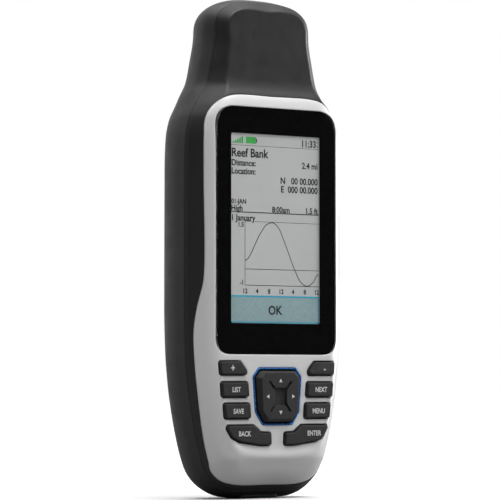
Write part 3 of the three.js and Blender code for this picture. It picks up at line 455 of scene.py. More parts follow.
class Shape:
    """Faces collected in millimetres and welded into one mesh at the end."""

    def __init__(self):
        self.points = []
        self.faces = []
        self.count = 0

    def add(self, points, faces):
        self.points.append(np.asarray(points, float))
        self.faces += [[self.count + int(i) for i in face] for face in faces]
        self.count += len(points)
        return self

    def wall(self, a, b):
        n = len(a)
        quads = [(i, (i + 1) % n, n + (i + 1) % n, n + i) for i in range(n)]
        return self.add(np.vstack([a, b]), quads)

    def skin(self, loops):
        for a, b in zip(loops, loops[1:]):
            self.wall(a, b)
        return self

    def cap(self, loop):
        return self.add(loop, [range(len(loop))])

    def closed(self, loops):
        """A solid through a stack of loops."""
        return self.skin(loops).cap(loops[0]).cap(loops[-1])

    def hoop(self, loops):
        """A closed band: its last loop joins its first."""
        return self.skin([*loops, loops[0]])

    def mesh(self, name):
        mesh = bpy.data.meshes.new(name)
        points = np.vstack(self.points)
        points = np.column_stack([points[:, 0], points[:, 1] + LENS_Y, points[:, 2]]) * MM
        mesh.from_pydata(points.tolist(), [], self.faces)
        edit = bmesh.new()
        edit.from_mesh(mesh)
        bmesh.ops.remove_doubles(edit, verts=edit.verts, dist=2e-6)
        bmesh.ops.dissolve_degenerate(edit, edges=edit.edges, dist=1e-7)
        bmesh.ops.recalc_face_normals(edit, faces=edit.faces)
        edit.to_mesh(mesh)
        edit.free()
        return mesh

    def finish(self, name, surface, sharp=38):
        return dressed(placed(name, self.mesh(name)), surface, sharp)


def dressed(piece, surface, sharp=38):
    """Smooth shading with sharp edges kept, and one material."""
    piece.data.polygons.foreach_set("use_smooth", [True] * len(piece.data.polygons))
    piece.data.set_sharp_from_angle(angle=math.radians(sharp))
    piece.data.materials.clear()
    piece.data.materials.append(surface)
    return piece


RIM_ANGLES = np.radians((0, 25, 50, 72, 90))


class Patch:
    """A flat region as triangles, with rows of points that round its edges over a rim."""

    def __init__(self, outer, holes=(), spacing=1.1, rim=0.0, outer_rim=None, guides=()):
        self.outer = outer
        self.holes = list(holes)
        rims = [rim if outer_rim is None else outer_rim] + [rim] * len(self.holes)
        points, drops, edges = [], [], []
        for loop, radius, way in zip([outer, *self.holes], rims, [-1] + [1] * len(self.holes)):
            for angle in RIM_ANGLES if radius else (0,):
                row = grown(loop, way * radius * (1 - math.cos(angle)))
                start = sum(map(len, points))
                edges += [(start + i, start + (i + 1) % len(row)) for i in range(len(row))]
                points.append(row)
                drops.append(np.full(len(row), radius * (1 - math.sin(angle))))
        loops = np.vstack(points)
        rows = self.clear_of(np.vstack(guides), loops, 0.35) if len(guides) else loops[:0]
        grid = np.vstack([rows, self.grid(spacing, np.vstack([loops, rows]))])
        points = np.vstack([loops, grid])
        drops = np.concatenate([*drops, np.zeros(len(grid))])
        made = delaunay_2d_cdt([Vector(p) for p in points], edges, [], 0, 1e-6, True)
        corners = np.array([list(v) for v in made[0]])
        triangles = np.array(made[2])
        centres = corners[triangles].mean(axis=1)
        self.points = corners
        self.triangles = triangles[self.covers(centres)]
        self.drop = np.array([drops[ids[0]] if ids else 0.0 for ids in made[3]])

    def covers(self, points):
        """Which of the points lie inside the region and in none of its holes."""
        keep = inside(points, self.outer)
        for hole in self.holes:
            keep &= ~inside(points, hole)
        return keep

    def grid(self, spacing, loops):
        """Staggered rows of points that keep clear of the region's edges."""
        low, high = self.outer.min(axis=0), self.outer.max(axis=0)
        rows = []
        for k, z in enumerate(np.arange(low[1], high[1], spacing * 0.87)):
            x = np.arange(low[0] + spacing * (k % 2) / 2, high[0], spacing)
            rows.append(np.column_stack([x, np.full(len(x), z)]))
        return self.clear_of(np.vstack(rows), loops, 0.6 * spacing)

    def clear_of(self, points, loops, distance):
        """The points inside the region that lie at least a distance from its edges."""
        points = points[self.covers(points)]
        clear = np.ones(len(points), bool)
        for start in range(0, len(points), 2000):
            part = points[start:start + 2000]
            gap = np.linalg.norm(part[:, None] - loops[None], axis=2).min(axis=1)
            clear[start:start + 2000] = gap > distance
        return points[clear]

    def at(self, depth, turn=1):
        """Rows of x, depth, z, with the rim dropped behind the surface, or before it for turn -1."""
        depths = depth(*self.points.T) if callable(depth) else np.full(len(self.points), depth)
        return raised(self.points, depths + turn * self.drop)


# ---------------------------------------------------------------------------------------------
# Materials
# ---------------------------------------------------------------------------------------------

class Surface:
    """A Principled material and short ways to add procedural detail to it."""

    def __init__(self, name, colour, roughness, **values):
        self.material = bpy.data.materials.new(name)
        self.material.use_nodes = True
        self.tree = self.material.node_tree
        self.shader = self.tree.nodes["Principled BSDF"]
        self.colour = self.rgb(colour)
        self.shader.inputs["Base Color"].default_value = self.colour
        self.shader.inputs["Roughness"].default_value = roughness
        for socket, value in values.items():
            self.shader.inputs[socket.replace("_", " ")].default_value = value
        self.place = self.node("ShaderNodeTexCoord").outputs["Object"]
        self.height = None

    @staticmethod
    def rgb(value):
        return (value, value, value, 1) if isinstance(value, (int, float)) else (*value, 1)

    def node(self, kind, **settings):
        made = self.tree.nodes.new(kind)
        for key, value in settings.items():
            setattr(made, key, value)
        return made

    def link(self, output, target):
        self.tree.links.new(output, target)

    def noise(self, size, detail=2.0, stretch=None):
        """Noise whose features are about size millimetres across."""
        made = self.node("ShaderNodeTexNoise")
        made.inputs["Scale"].default_value = 1 / (size * MM)
        made.inputs["Detail"].default_value = detail
        place = self.place
        if stretch:
            mapping = self.node("ShaderNodeMapping")
            mapping.inputs["Scale"].default_value = stretch
            self.link(place, mapping.inputs["Vector"])
            place = mapping.outputs["Vector"]
        self.link(place, made.inputs["Vector"])
        return made.outputs["Fac"]

    def cells(self, size, feature="F1"):
        made = self.node("ShaderNodeTexVoronoi", feature=feature)
        made.inputs["Scale"].default_value = 1 / (size * MM)
        self.link(self.place, made.inputs["Vector"])
        return made.outputs["Distance"]

    def ranged(self, value, low, high, to_low, to_high):
        made = self.node("ShaderNodeMapRange")
        self.link(value, made.inputs["Value"])
        for socket, number in zip(("From Min", "From Max", "To Min", "To Max"),
                                  (low, high, to_low, to_high)):
            made.inputs[socket].default_value = number
        return made.outputs["Result"]

    def tint(self, mask, colour):
        """Mixes a colour over the base colour where the mask is high."""
        mix = self.node("ShaderNodeMix", data_type="RGBA")
        base = self.shader.inputs["Base Color"]
        if base.links:
            self.link(base.links[0].from_socket, mix.inputs[6])
        else:
            mix.inputs[6].default_value = self.colour
        mix.inputs[7].default_value = self.rgb(colour)
        self.link(mask, mix.inputs[0])
        self.link(mix.outputs[2], base)
        return self

    def roughen(self, value, low, high):
        self.link(self.ranged(value, 0.3, 0.7, low, high), self.shader.inputs["Roughness"])
        return self

    def bump(self, value, depth, strength=1.0):
        """Adds a height, in millimetres, to the surface's bump."""
        made = self.node("ShaderNodeBump")
        made.inputs["Strength"].default_value = strength
        made.inputs["Distance"].default_value = depth * MM
        self.link(value, made.inputs["Height"])
        if self.height is not None:
            self.link(self.height, made.inputs["Normal"])
        self.height = made.outputs["Normal"]
        self.link(self.height, self.shader.inputs["Normal"])
        return self

    def worn(self, colour, low=0.54, high=0.62, amount=0.6):
        """Paler convex edges, broken up by noise."""
        edge = self.node("ShaderNodeNewGeometry").outputs["Pointiness"]
        mask = self.ranged(edge, low, high, 0, amount)
        broken = self.node("ShaderNodeMath", operation="MULTIPLY")
        self.link(mask, broken.inputs[0])
        self.link(self.ranged(self.noise(3), 0.35, 0.65, 0.3, 1), broken.inputs[1])
        return self.tint(broken.outputs[0], colour)


def housing_plastic():
    s = Surface("soft_black_plastic", (0.0125, 0.0125, 0.013), 0.46, Specular_IOR_Level=0.5)
    s.tint(s.ranged(s.noise(14), 0.35, 0.7, 0, 0.5), (0.0155, 0.0155, 0.016))
    s.worn((0.03, 0.03, 0.031))
    s.roughen(s.noise(5, 4), 0.4, 0.52)
    s.bump(s.noise(0.22, 1), 0.012, 0.5)
    return s.material


def grip_rubber():
    s = Surface("grip_rubber", (0.0135, 0.0135, 0.014), 0.5, Specular_IOR_Level=0.5)
    s.tint(s.ranged(s.noise(16), 0.35, 0.7, 0, 0.5), (0.017, 0.017, 0.0175))
    s.worn((0.034, 0.034, 0.035))
    s.roughen(s.noise(6, 4), 0.44, 0.56)
    s.bump(s.cells(0.34), 0.016, 0.5)
    return s.material


def pearl_plastic():
    s = Surface("pearl_plastic", (0.82, 0.82, 0.822), 0.38, Metallic=0.1, Coat_Weight=0.2,
                Coat_Roughness=0.3)
    s.tint(s.ranged(s.cells(0.16), 0.1, 0.7, 0.35, 0), (0.9, 0.9, 0.902))
    s.tint(s.ranged(s.noise(22), 0.35, 0.7, 0, 0.3), (0.77, 0.77, 0.772))
    s.roughen(s.noise(4, 3), 0.32, 0.42)
    s.bump(s.noise(0.5, 2), 0.004, 0.3)
    return s.material


def clear_glass():
    s = Surface("display_glass", 1.0, 0.02, Transmission_Weight=1.0, IOR=1.5)
    s.roughen(s.noise(9, 3), 0.012, 0.035)
    return s.material


def border_print():
    s = Surface("black_print", (0.001, 0.001, 0.0011), 0.6, Specular_IOR_Level=0.0)
    s.tint(s.ranged(s.noise(6), 0.4, 0.6, 0, 0.5), (0.0016, 0.0016, 0.0017))
    s.roughen(s.noise(2, 3), 0.42, 0.55)
    s.bump(s.noise(0.3, 1), 0.002, 0.3)
    return s.material


def display_panel():
    s = Surface("display_panel", (0.42, 0.428, 0.425), 0.6, Specular_IOR_Level=0.3)
    dots = s.node("ShaderNodeTexBrick", offset=0.0)
    dots.inputs["Scale"].default_value = 1 / (0.32 * MM)
    dots.inputs["Brick Width"].default_value = 0.5
    dots.inputs["Row Height"].default_value = 0.5
    dots.inputs["Mortar Size"].default_value = 0.03
    turned = s.node("ShaderNodeMapping")
    turned.inputs["Rotation"].default_value = (math.pi / 2, 0, 0)
    s.link(s.place, turned.inputs["Vector"])
    s.link(turned.outputs["Vector"], dots.inputs["Vector"])
    s.tint(s.ranged(dots.outputs["Fac"], 0, 1, 0, 0.16), (0.25, 0.255, 0.25))
    s.tint(s.ranged(s.noise(30), 0.4, 0.65, 0, 0.4), (0.39, 0.4, 0.4))
    # Painted light: the panel glows faintly, which brightens the display beyond what the lamps give it.
    s.shader.inputs["Emission Color"].default_value = (0.9, 0.95, 0.93, 1)
    s.shader.inputs["Emission Strength"].default_value = 0.1
    return s.material


def printed(name, colour, roughness=0.6):
    s = Surface(name, colour, roughness, Specular_IOR_Level=0.3)
    darker = tuple(0.82 * c for c in s.colour[:3])
    s.tint(s.ranged(s.noise(0.5), 0.4, 0.65, 0, 0.7), darker)
    s.roughen(s.noise(1.2, 2), roughness - 0.08, roughness + 0.08)
    return s.material


def key_rubber():
    s = Surface("key_rubber", (0.022, 0.022, 0.0225), 0.6, Specular_IOR_Level=0.4)
    s.tint(s.ranged(s.noise(2.5), 0.35, 0.7, 0, 0.6), (0.028, 0.028, 0.0285))
    s.worn((0.045, 0.045, 0.046))
    s.roughen(s.noise(1.6, 3), 0.56, 0.7)
    s.bump(s.noise(0.16, 1), 0.012, 0.6)
    return s.material


def blue_metal():
    s = Surface("blue_anodised", (0.03, 0.18, 0.55), 0.34, Metallic=0.5)
    s.tint(s.ranged(s.noise(1.4), 0.35, 0.7, 0, 0.6), (0.05, 0.25, 0.68))
    s.roughen(s.noise(0.6, 3), 0.22, 0.36)
    s.bump(s.noise(0.2, 2, (1, 1, 6)), 0.004, 0.5)
    return s.material


def brushed(name, colour, roughness=0.3):
    s = Surface(name, colour, roughness, Metallic=1.0)
    s.tint(s.ranged(s.noise(3, 4), 0.35, 0.7, 0, 0.5), tuple(0.7 * c for c in s.colour[:3]))
    s.roughen(s.noise(0.4, 3, (6, 1, 1)), roughness - 0.08, roughness + 0.14)
    s.bump(s.noise(0.12, 2, (8, 1, 1)), 0.006, 0.5)
    return s.material


def moulded(name, colour, roughness=0.6, grain=0.25):
    s = Surface(name, colour, roughness)
    s.tint(s.ranged(s.noise(4), 0.35, 0.7, 0, 0.6), tuple(1.35 * c for c in s.colour[:3]))
    s.roughen(s.noise(1.5, 3), roughness - 0.08, roughness + 0.08)
    s.bump(s.noise(grain, 1), 0.01, 0.5)
    return s.material


def circuit_board():
    s = Surface("solder_mask", (0.012, 0.1, 0.045), 0.42, Coat_Weight=0.4)
    traces = s.node("ShaderNodeTexBrick", offset=0.5)
    traces.inputs["Scale"].default_value = 1 / (3.2 * MM)
    traces.inputs["Mortar Size"].default_value = 0.05
    s.link(s.place, traces.inputs["Vector"])
    s.tint(s.ranged(traces.outputs["Fac"], 0, 1, 0, 0.6), (0.03, 0.2, 0.08))
    s.roughen(s.noise(0.8, 3), 0.35, 0.5)
    s.bump(traces.outputs["Fac"], 0.03, 0.5)
    return s.material


def floor_paper():
    """Pale paper that lights the object's underside less than it shows."""
    s = Surface("pale_floor", 0.9, 0.8, Specular_IOR_Level=0.05)
    s.tint(s.ranged(s.noise(60, 3), 0.35, 0.7, 0, 0.5), (0.88, 0.88, 0.885))
    path = s.node("ShaderNodeLightPath")
    bounce = s.node("ShaderNodeBsdfDiffuse")
    bounce.inputs["Color"].default_value = s.rgb(0.26)
    mix = s.node("ShaderNodeMixShader")
    s.link(path.outputs["Is Camera Ray"], mix.inputs["Fac"])
    s.link(bounce.outputs[0], mix.inputs[1])
    s.link(s.shader.outputs[0], mix.inputs[2])
    s.link(mix.outputs[0], s.tree.nodes["Material Output"].inputs["Surface"])
    return s.material


# ---------------------------------------------------------------------------------------------
# Camera, floor and light
# ---------------------------------------------------------------------------------------------

CAMERA = {"place": (-668.87, -849.685, 37.92), "azimuth": 38.198, "pitch": 2.4425, "lens": 229.18}


def make_camera():
    data = bpy.data.cameras.new("camera")
    data.lens = CAMERA["lens"]
    data.sensor_width = 36
    data.clip_start, data.clip_end = 0.01, 50
    camera = bpy.data.objects.new("camera", data)
    camera.location = Vector(CAMERA["place"]) * MM
    turn, tilt = math.radians(CAMERA["azimuth"]), math.radians(CAMERA["pitch"])
    ahead = Vector((math.sin(turn) * math.cos(tilt), math.cos(turn) * math.cos(tilt), math.sin(tilt)))
    camera.rotation_mode = "QUATERNION"
    camera.rotation_quaternion = ahead.to_track_quat("-Z", "Y")
    bpy.context.scene.collection.objects.link(camera)
    bpy.context.scene.camera = camera


def make_floor():
    mesh = bpy.data.meshes.new("floor")
    half = 6.0
    corners = [(-half, -half, 0), (half, -half, 0), (half, half, 0), (-half, half, 0)]
    mesh.from_pydata(corners, [], [(0, 1, 2, 3)])
    mesh.materials.append(floor_paper())
    placed("floor", mesh)


def area_light(name, place, target, size, power):
    data = bpy.data.lights.new(name, "AREA")
    data.shape = "RECTANGLE"
    data.size, data.size_y = size
    data.energy = power
    lamp = bpy.data.objects.new(name, data)
    lamp.location = place
    lamp.rotation_mode = "QUATERNION"
    lamp.rotation_quaternion = (Vector(target) - Vector(place)).to_track_quat("-Z", "Y")
    bpy.context.scene.collection.objects.link(lamp)


def make_lights():
    """A soft box high in front, a bright wall on the right, and an overhead sky for the floor."""
    middle = (0, 0, 0.09)
    area_light("key_softbox", (0.25, -0.55, 0.95), middle, (0.8, 0.5), 5.2)
    area_light("right_softbox", (1.0, -0.15, 0.1), middle, (0.6, 0.7), 10.0)
    area_light("front_fill", (0.12, -1.0, -0.15), middle, (0.4, 0.3), 5.0)
    data = bpy.data.lights.new("overhead", "SUN")
    data.energy = 2.9
    data.angle = math.radians(80)
    placed("overhead", data)


def make_world():
    """White behind everything the camera sees; for the object's own light, white only at the back."""
    world = bpy.data.worlds.new("studio")
    bpy.context.scene.world = world
    world.use_nodes = True
    tree = world.node_tree
    tree.nodes.clear()
    link = tree.links.new
    place = tree.nodes.new("ShaderNodeTexCoord")
    split = tree.nodes.new("ShaderNodeSeparateXYZ")
    link(place.outputs["Generated"], split.inputs[0])
    back = tree.nodes.new("ShaderNodeMapRange")
    back.interpolation_type = "SMOOTHSTEP"
    for socket, number in zip(("From Min", "From Max", "To Min", "To Max"), (-0.1, 0.75, 0.03, 0.8)):
        back.inputs[socket].default_value = number
    link(split.outputs["Y"], back.inputs["Value"])
    studio = tree.nodes.new("ShaderNodeBackground")
    link(back.outputs["Result"], studio.inputs["Strength"])
    seen = tree.nodes.new("ShaderNodeBackground")
    path = tree.nodes.new("ShaderNodeLightPath")
    mix = tree.nodes.new("ShaderNodeMixShader")
    link(path.outputs["Is Camera Ray"], mix.inputs["Fac"])
    link(studio.outputs[0], mix.inputs[1])
    link(seen.outputs[0], mix.inputs[2])
    out = tree.nodes.new("ShaderNodeOutputWorld")
    link(mix.outputs[0], out.inputs["Surface"])
    for background in (studio, seen):
        background.inputs["Color"].default_value = (1, 1, 1, 1)


# ---------------------------------------------------------------------------------------------
# Outlines that several pieces share
# ---------------------------------------------------------------------------------------------

PLATE = resample(mirrored(smooth_half(PLATE_HALF)), 0.8)
LENS_LOOP = rounded_box(
    -LENS["half"], LENS["half"], LENS["bottom"], LENS["top"], LENS["corners"], 0.7
)
RING_CORNERS = mirrored([(6.4, 24.7), (9.5, 29), (10.5, 41), (8, 44.05)])
ROCKER_CORNERS = mirrored([(5.3, 26.65), (7.6, 29.5), (8.2, 40.6), (6, 42.5)])
WELL = resample(
    rounded(mirrored([(19, 16.2), (22.9, 20.2), (24.2, 29), (25.5, 40), (26, 47.4)]), 1.5), 0.8
)
DOOR_LOOP = resample(
    held_behind(
        rounded_box(-DOOR["half"], DOOR["half"], DOOR["bottom"], DOOR["top"], DOOR["corner"], 0.5),
        DOOR["inner"] + 0.5,
    ),
    0.9,
)


def ring_loop(inset):
    """Outline of the rocker's trim ring, drawn in evenly."""
    return rounded(grown(RING_CORNERS, -inset), 1.2 - 0.3 * inset)


def key_loop(row, side):
    points = np.array(KEY_OUTLINES[row], float)
    if side < 0:
        points = points[::-1] * (-1, 1)
    return resample(rounded(points, 0.9), 0.3)


def screw_places():
    return [(x * side, z) for x, z in SCREWS for side in (1, -1)]


# ---------------------------------------------------------------------------------------------
# Housing
# ---------------------------------------------------------------------------------------------

HOUSING_SPACING = 1.2
BACK_PATCH_TURN = math.radians(37)


def make_front_housing(surface):
    """Black front frame: the antenna head, the rim round the plate and the seat under it."""
    outer = outline(HOUSING_SPACING)
    edge = ring_at(outer, PARTING - HALF_GAP - LIP)
    lip = drawn_in(ring_at(outer, PARTING - HALF_GAP), 0.08)
    seat = grown(PLATE, 0.12)
    window = rounded_box(-20.5, 20.5, 57.6, 123.7, 1, 1)
    openings = [window, WELL]
    shape = Shape()
    face = Patch(edge, [seat], 1.0, rim=0.15, outer_rim=0, guides=front_guides(outline(0.7)))
    shape.add(face.at(front_depth), face.triangles)
    shape.wall(raised(edge, front_depth(*edge.T)), raised(lip, PARTING - HALF_GAP))
    floor = Patch(seat, openings, 2.0)

    def floor_depth(x, z):
        return front_depth(x, z) + PLATE_THICKNESS + PLATE_GAP

    def inner_depth(x, z):
        return np.minimum(front_depth(x, z) + FRONT_WALL, PARTING - HALF_GAP)

    shape.add(floor.at(floor_depth), floor.triangles)
    shape.wall(raised(seat, front_depth(*seat.T) + 0.15), raised(seat, floor_depth(*seat.T)))
    inner = Patch(lip, openings, 2.0)
    shape.add(inner.at(inner_depth), inner.triangles)
    for loop in openings:
        shape.wall(raised(loop, floor_depth(*loop.T)), raised(loop, inner_depth(*loop.T)))
    piece = shape.finish("front_frame", surface)
    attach(piece, "housing")
    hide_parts("front_housing")


def pocket(shape, loop, top, floor):
    """Walls and floor of a hollow sunk into the back."""
    shape.wall(raised(loop, top), raised(loop, floor))
    shape.cap(raised(loop, floor))


def make_rear_housing(surface):
    outer = outline(HOUSING_SPACING)
    face = PARTING + HALF_GAP
    rings = [raised(drawn_in(ring_at(outer, face), 0.08), face)]
    for depth in (face + LIP, 8.8, 9.4, 10.2, 11.2, 12.2):
        rings.append(raised(ring_at(outer, depth), depth))
    reach = travel_and_reach(*drawn_in(outer, 1e-6).T)[1]
    shoulder = np.minimum(BACK_SHOULDER, 0.85 * reach)
    for turn in np.linspace(0, BACK_PATCH_TURN, 8):
        ring = drawn_in(outer, shoulder * (1 - math.cos(turn)))
        depths = WIDEST + (back_face(ring[:, 1]) - WIDEST) * math.sin(turn)
        rings.append(raised(ring, depths))
    shape = Shape().skin(rings).cap(rings[0])

    recess = grown(DOOR_LOOP, 0.3)
    rail = rounded_box(*RAIL_POCKET, 1, 0.8)
    port = rounded_box(*PORT_POCKET, 1.2, 0.8)
    bores = [circle(x, z, 2.7, 32) for x, z in screw_places()]
    rim = 0.35
    back = Patch(rings[-1][:, [0, 2]], [recess, rail, port, *bores], 1.2, rim=rim, outer_rim=0)
    shape.add(back.at(back_depth, turn=-1), back.triangles)
    pocket(shape, rail, back_depth(*rail.T) - rim, 26.6)
    pocket(shape, port, back_depth(*port.T) - rim, 24.6)
    for bore in bores:
        pocket(shape, bore, back_depth(*bore.T) - rim, 21.0)

    bay = rounded_box(-BAY["half"], BAY["half"], BAY["bottom"], BAY["top"], 1, 1)
    well = circle(0, LATCH_Z, 8.7, 48)
    shape.wall(raised(recess, back_depth(*recess.T) - rim), raised(recess, LEDGE))
    ledge = Patch(recess, [bay, well], 3.0)
    shape.add(ledge.at(LEDGE), ledge.triangles)
    pocket(shape, bay, LEDGE, BAY["floor"])
    pocket(shape, well, LEDGE, 19.5)
    piece = shape.finish("rear_shell", surface)
    join_foot(piece)
    cut_power_key_hole(piece)
    dressed(piece, surface)
    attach(piece, "housing")
    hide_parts("rear_housing")


def join_foot(piece):
    """Adds the small flat foot under the housing."""
    loop = rounded_box(-9, 9, 10.2, 18.8, 2.2, 0.8)
    low, high = grown(loop, -0.5), loop
    levels = [(low, 0), (grown(loop, -0.15), 0.15), (high, 0.5), (high, 4.5)]
    shape = Shape()
    stack = [np.column_stack([p[:, 0], p[:, 1], np.full(len(p), z)]) for p, z in levels]
    combine(piece, placed("foot", shape.closed(stack).mesh("foot")), "UNION")


def power_key_outline():
    """Outline of the power key seen from the side, and the depth of its middle."""
    low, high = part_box("power_key")
    middle = (low.z + high.z) / 2 / MM
    across, up = POWER_KEY["half_depth"], POWER_KEY["half_height"]
    loop = rounded_box(-across, across, middle - up, middle + up, POWER_KEY["corner"], 0.4)
    return loop, (low.y + high.y) / 2 / MM - LENS_Y


def cut_power_key_hole(piece):
    """Opens the side for the power key, deep enough for the key's travel."""
    loop, depth = power_key_outline()
    hole = grown(loop, POWER_KEY["gap"])
    ends = [sideways(raised(hole, 0), x, depth) for x in POWER_KEY_HOLE]
    combine(piece, placed("key_hole", Shape().closed(ends).mesh("key_hole")), "DIFFERENCE")


def combine(piece, tool, operation):
    """Applies a boolean to the piece and removes the tool."""
    modifier = piece.modifiers.new("join", "BOOLEAN")
    modifier.operation = operation
    modifier.solver = "EXACT"
    modifier.object = tool
    graph = bpy.context.evaluated_depsgraph_get()
    mesh = bpy.data.meshes.new_from_object(piece.evaluated_get(graph))
    piece.modifiers.clear()
    piece.data = mesh
    bpy.data.objects.remove(tool)


PLATE_RIM = 0.22                # rounding round the holes of the face plate


def make_face_plate(surface):
    holes = [grown(LENS_LOOP, 0.07), resample(ring_loop(-0.06), 0.35)]
    holes += [grown(key_loop(row, side), 0.28) for row, side, *_ in KEYS.values()]
    patch = Patch(PLATE, holes, 0.9, rim=PLATE_RIM, outer_rim=0.35)
    shape = Shape()
    shape.add(patch.at(plate_depth), patch.triangles)
    under = raised(patch.points, plate_depth(*patch.points.T) + PLATE_THICKNESS)
    shape.add(under, patch.triangles)
    for loop, rim in zip([PLATE, *holes], [0.35] + [PLATE_RIM] * len(holes)):
        skin = plate_depth(*loop.T)
        shape.wall(raised(loop, skin + rim), raised(loop, skin + PLATE_THICKNESS))
    piece = shape.finish("pearl_face_plate", surface)
    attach(piece, "housing")
    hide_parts("face_plate")


# ---------------------------------------------------------------------------------------------
# Display
# ---------------------------------------------------------------------------------------------

LENS_THICKNESS = 1.2
PRINT_LAYER = (1.24, 1.34)      # front and back of the black border behind the lens
FLAT_MARGIN = 0.12              # a flat row inside each rounded edge keeps the face's shading flat


def slab_levels(loop, face, far, rim, steps=4):
    """Loops of a slab whose edge is rounded on the side of its face."""
    way = math.copysign(1, far - face)
    levels = [raised(grown(loop, -rim - FLAT_MARGIN), face)]
    for angle in np.linspace(math.pi / 2, 0, steps + 1):
        inset = rim * (1 - math.cos(angle))
        levels.append(raised(grown(loop, -inset), face + way * rim * (1 - math.sin(angle))))
    levels.append(raised(loop, far))
    return levels


def make_lens(glass, print_black):
    lens = Shape().closed(slab_levels(LENS_LOOP, 0, LENS_THICKNESS, 0.06))
    lens = lens.finish("display_window", glass)
    lens.visible_shadow = False
    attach(lens, "housing")
    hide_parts("display_lens")

    outer = grown(LENS_LOOP, -0.05)
    view = rounded_box(-VIEW["half"], VIEW["half"], VIEW["bottom"], VIEW["top"], 0.3, 0.8)
    border = Patch(outer, [view], 4.0)
    shape = Shape()
    for depth in PRINT_LAYER:
        shape.add(border.at(depth), border.triangles)
    for loop in (outer, view):
        shape.wall(*(raised(loop, depth) for depth in PRINT_LAYER))
    piece = shape.finish("lens_border_print", print_black)
    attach(piece, "housing")


def make_display(panel):
    low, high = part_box("lcd_panel")
    front, back = low.y / MM - LENS_Y, high.y / MM - LENS_Y
    loop = rounded_box(low.x / MM, high.x / MM, low.z / MM, high.z / MM, 0.5, 1.0)
    piece = Shape().closed(slab_levels(loop, front, back, 0.1)).finish("display_module", panel)
    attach(piece, "housing")
    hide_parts("lcd_panel")
    return front


def lettering(words, height, place, depth, align="CENTER", squeeze=0.84, weight=0.0):
    """Flat letters that face forwards, as rows of x, depth, z and faces, in millimetres."""
    curve = bpy.data.curves.new("letters", "FONT")
    curve.body = words
    curve.size = height / 0.72
    curve.align_x = align
    curve.offset = weight
    curve.resolution_u = 3
    curve.extrude = 0.012
    text = placed("letters", curve)
    graph = bpy.context.evaluated_depsgraph_get()
    mesh = bpy.data.meshes.new_from_object(text.evaluated_get(graph))
    points = np.array([v.co for v in mesh.vertices]).reshape(-1, 3)
    faces = [list(p.vertices) for p in mesh.polygons]
    bpy.data.objects.remove(text)
    bpy.data.curves.remove(curve)
    bpy.data.meshes.remove(mesh)
    x = place[0] + points[:, 0] * squeeze
    z = place[1] + points[:, 1] - height / 2
    return np.column_stack([x, depth - points[:, 2], z]), faces


SCREEN_LEFT, SCREEN_TOP = -VIEW["half"], VIEW["top"]


def on_screen(right, down):
    """A place on the display, from its top-left corner."""
    return SCREEN_LEFT + right, SCREEN_TOP - down


def stroke(shape, points, width, depth):
    """A drawn line of even width."""
    points = np.asarray(points, float)
    run = np.gradient(points, axis=0)
    run /= np.linalg.norm(run, axis=1)[:, None]
    side = np.column_stack([-run[:, 1], run[:, 0]]) * width / 2
    loop = np.vstack([points + side, (points - side)[::-1]])
    top, bottom = raised(loop, depth - 0.012), raised(loop, depth + 0.012)
    n, m = len(points), len(loop)
    for level in (0, m):
        shape.add(np.vstack([top, bottom]), [
            (level + i, level + i + 1, level + m - 2 - i, level + m - 1 - i) for i in range(n - 1)
        ])
    shape.wall(top, bottom)


def bar(shape, left, right, top, bottom, depth, thickness=0.012):
    """A filled rectangle on the display, given from its top-left corner."""
    corners = [on_screen(left, bottom), on_screen(right, bottom), on_screen(right, top),
               on_screen(left, top)]
    loop = np.array(corners, float)
    shape.closed([raised(loop, depth - thickness), raised(loop, depth + thickness)])


def tide_curve():
    """A swell through the chart: up to a crest, down past the mid line and up again."""
    right = np.linspace(6.2, 37.9, 60)
    down = monotone([(6.2, 42.5), (12.6, 33.6), (15.6, 30.2), (17.9, 29.6), (20.4, 31.1),
                     (23.4, 36.6), (27.7, 45.6), (30.6, 49.8), (33, 50.7), (35.3, 49.6),
                     (37.9, 46.6)])
    return np.column_stack(on_screen(right, down(right)))


SCREEN_WEIGHT = 0.033           # how much bolder the letters are, as a share of their height
SCREEN_SQUEEZE = 0.95
HOUR_HEIGHT = 1.6


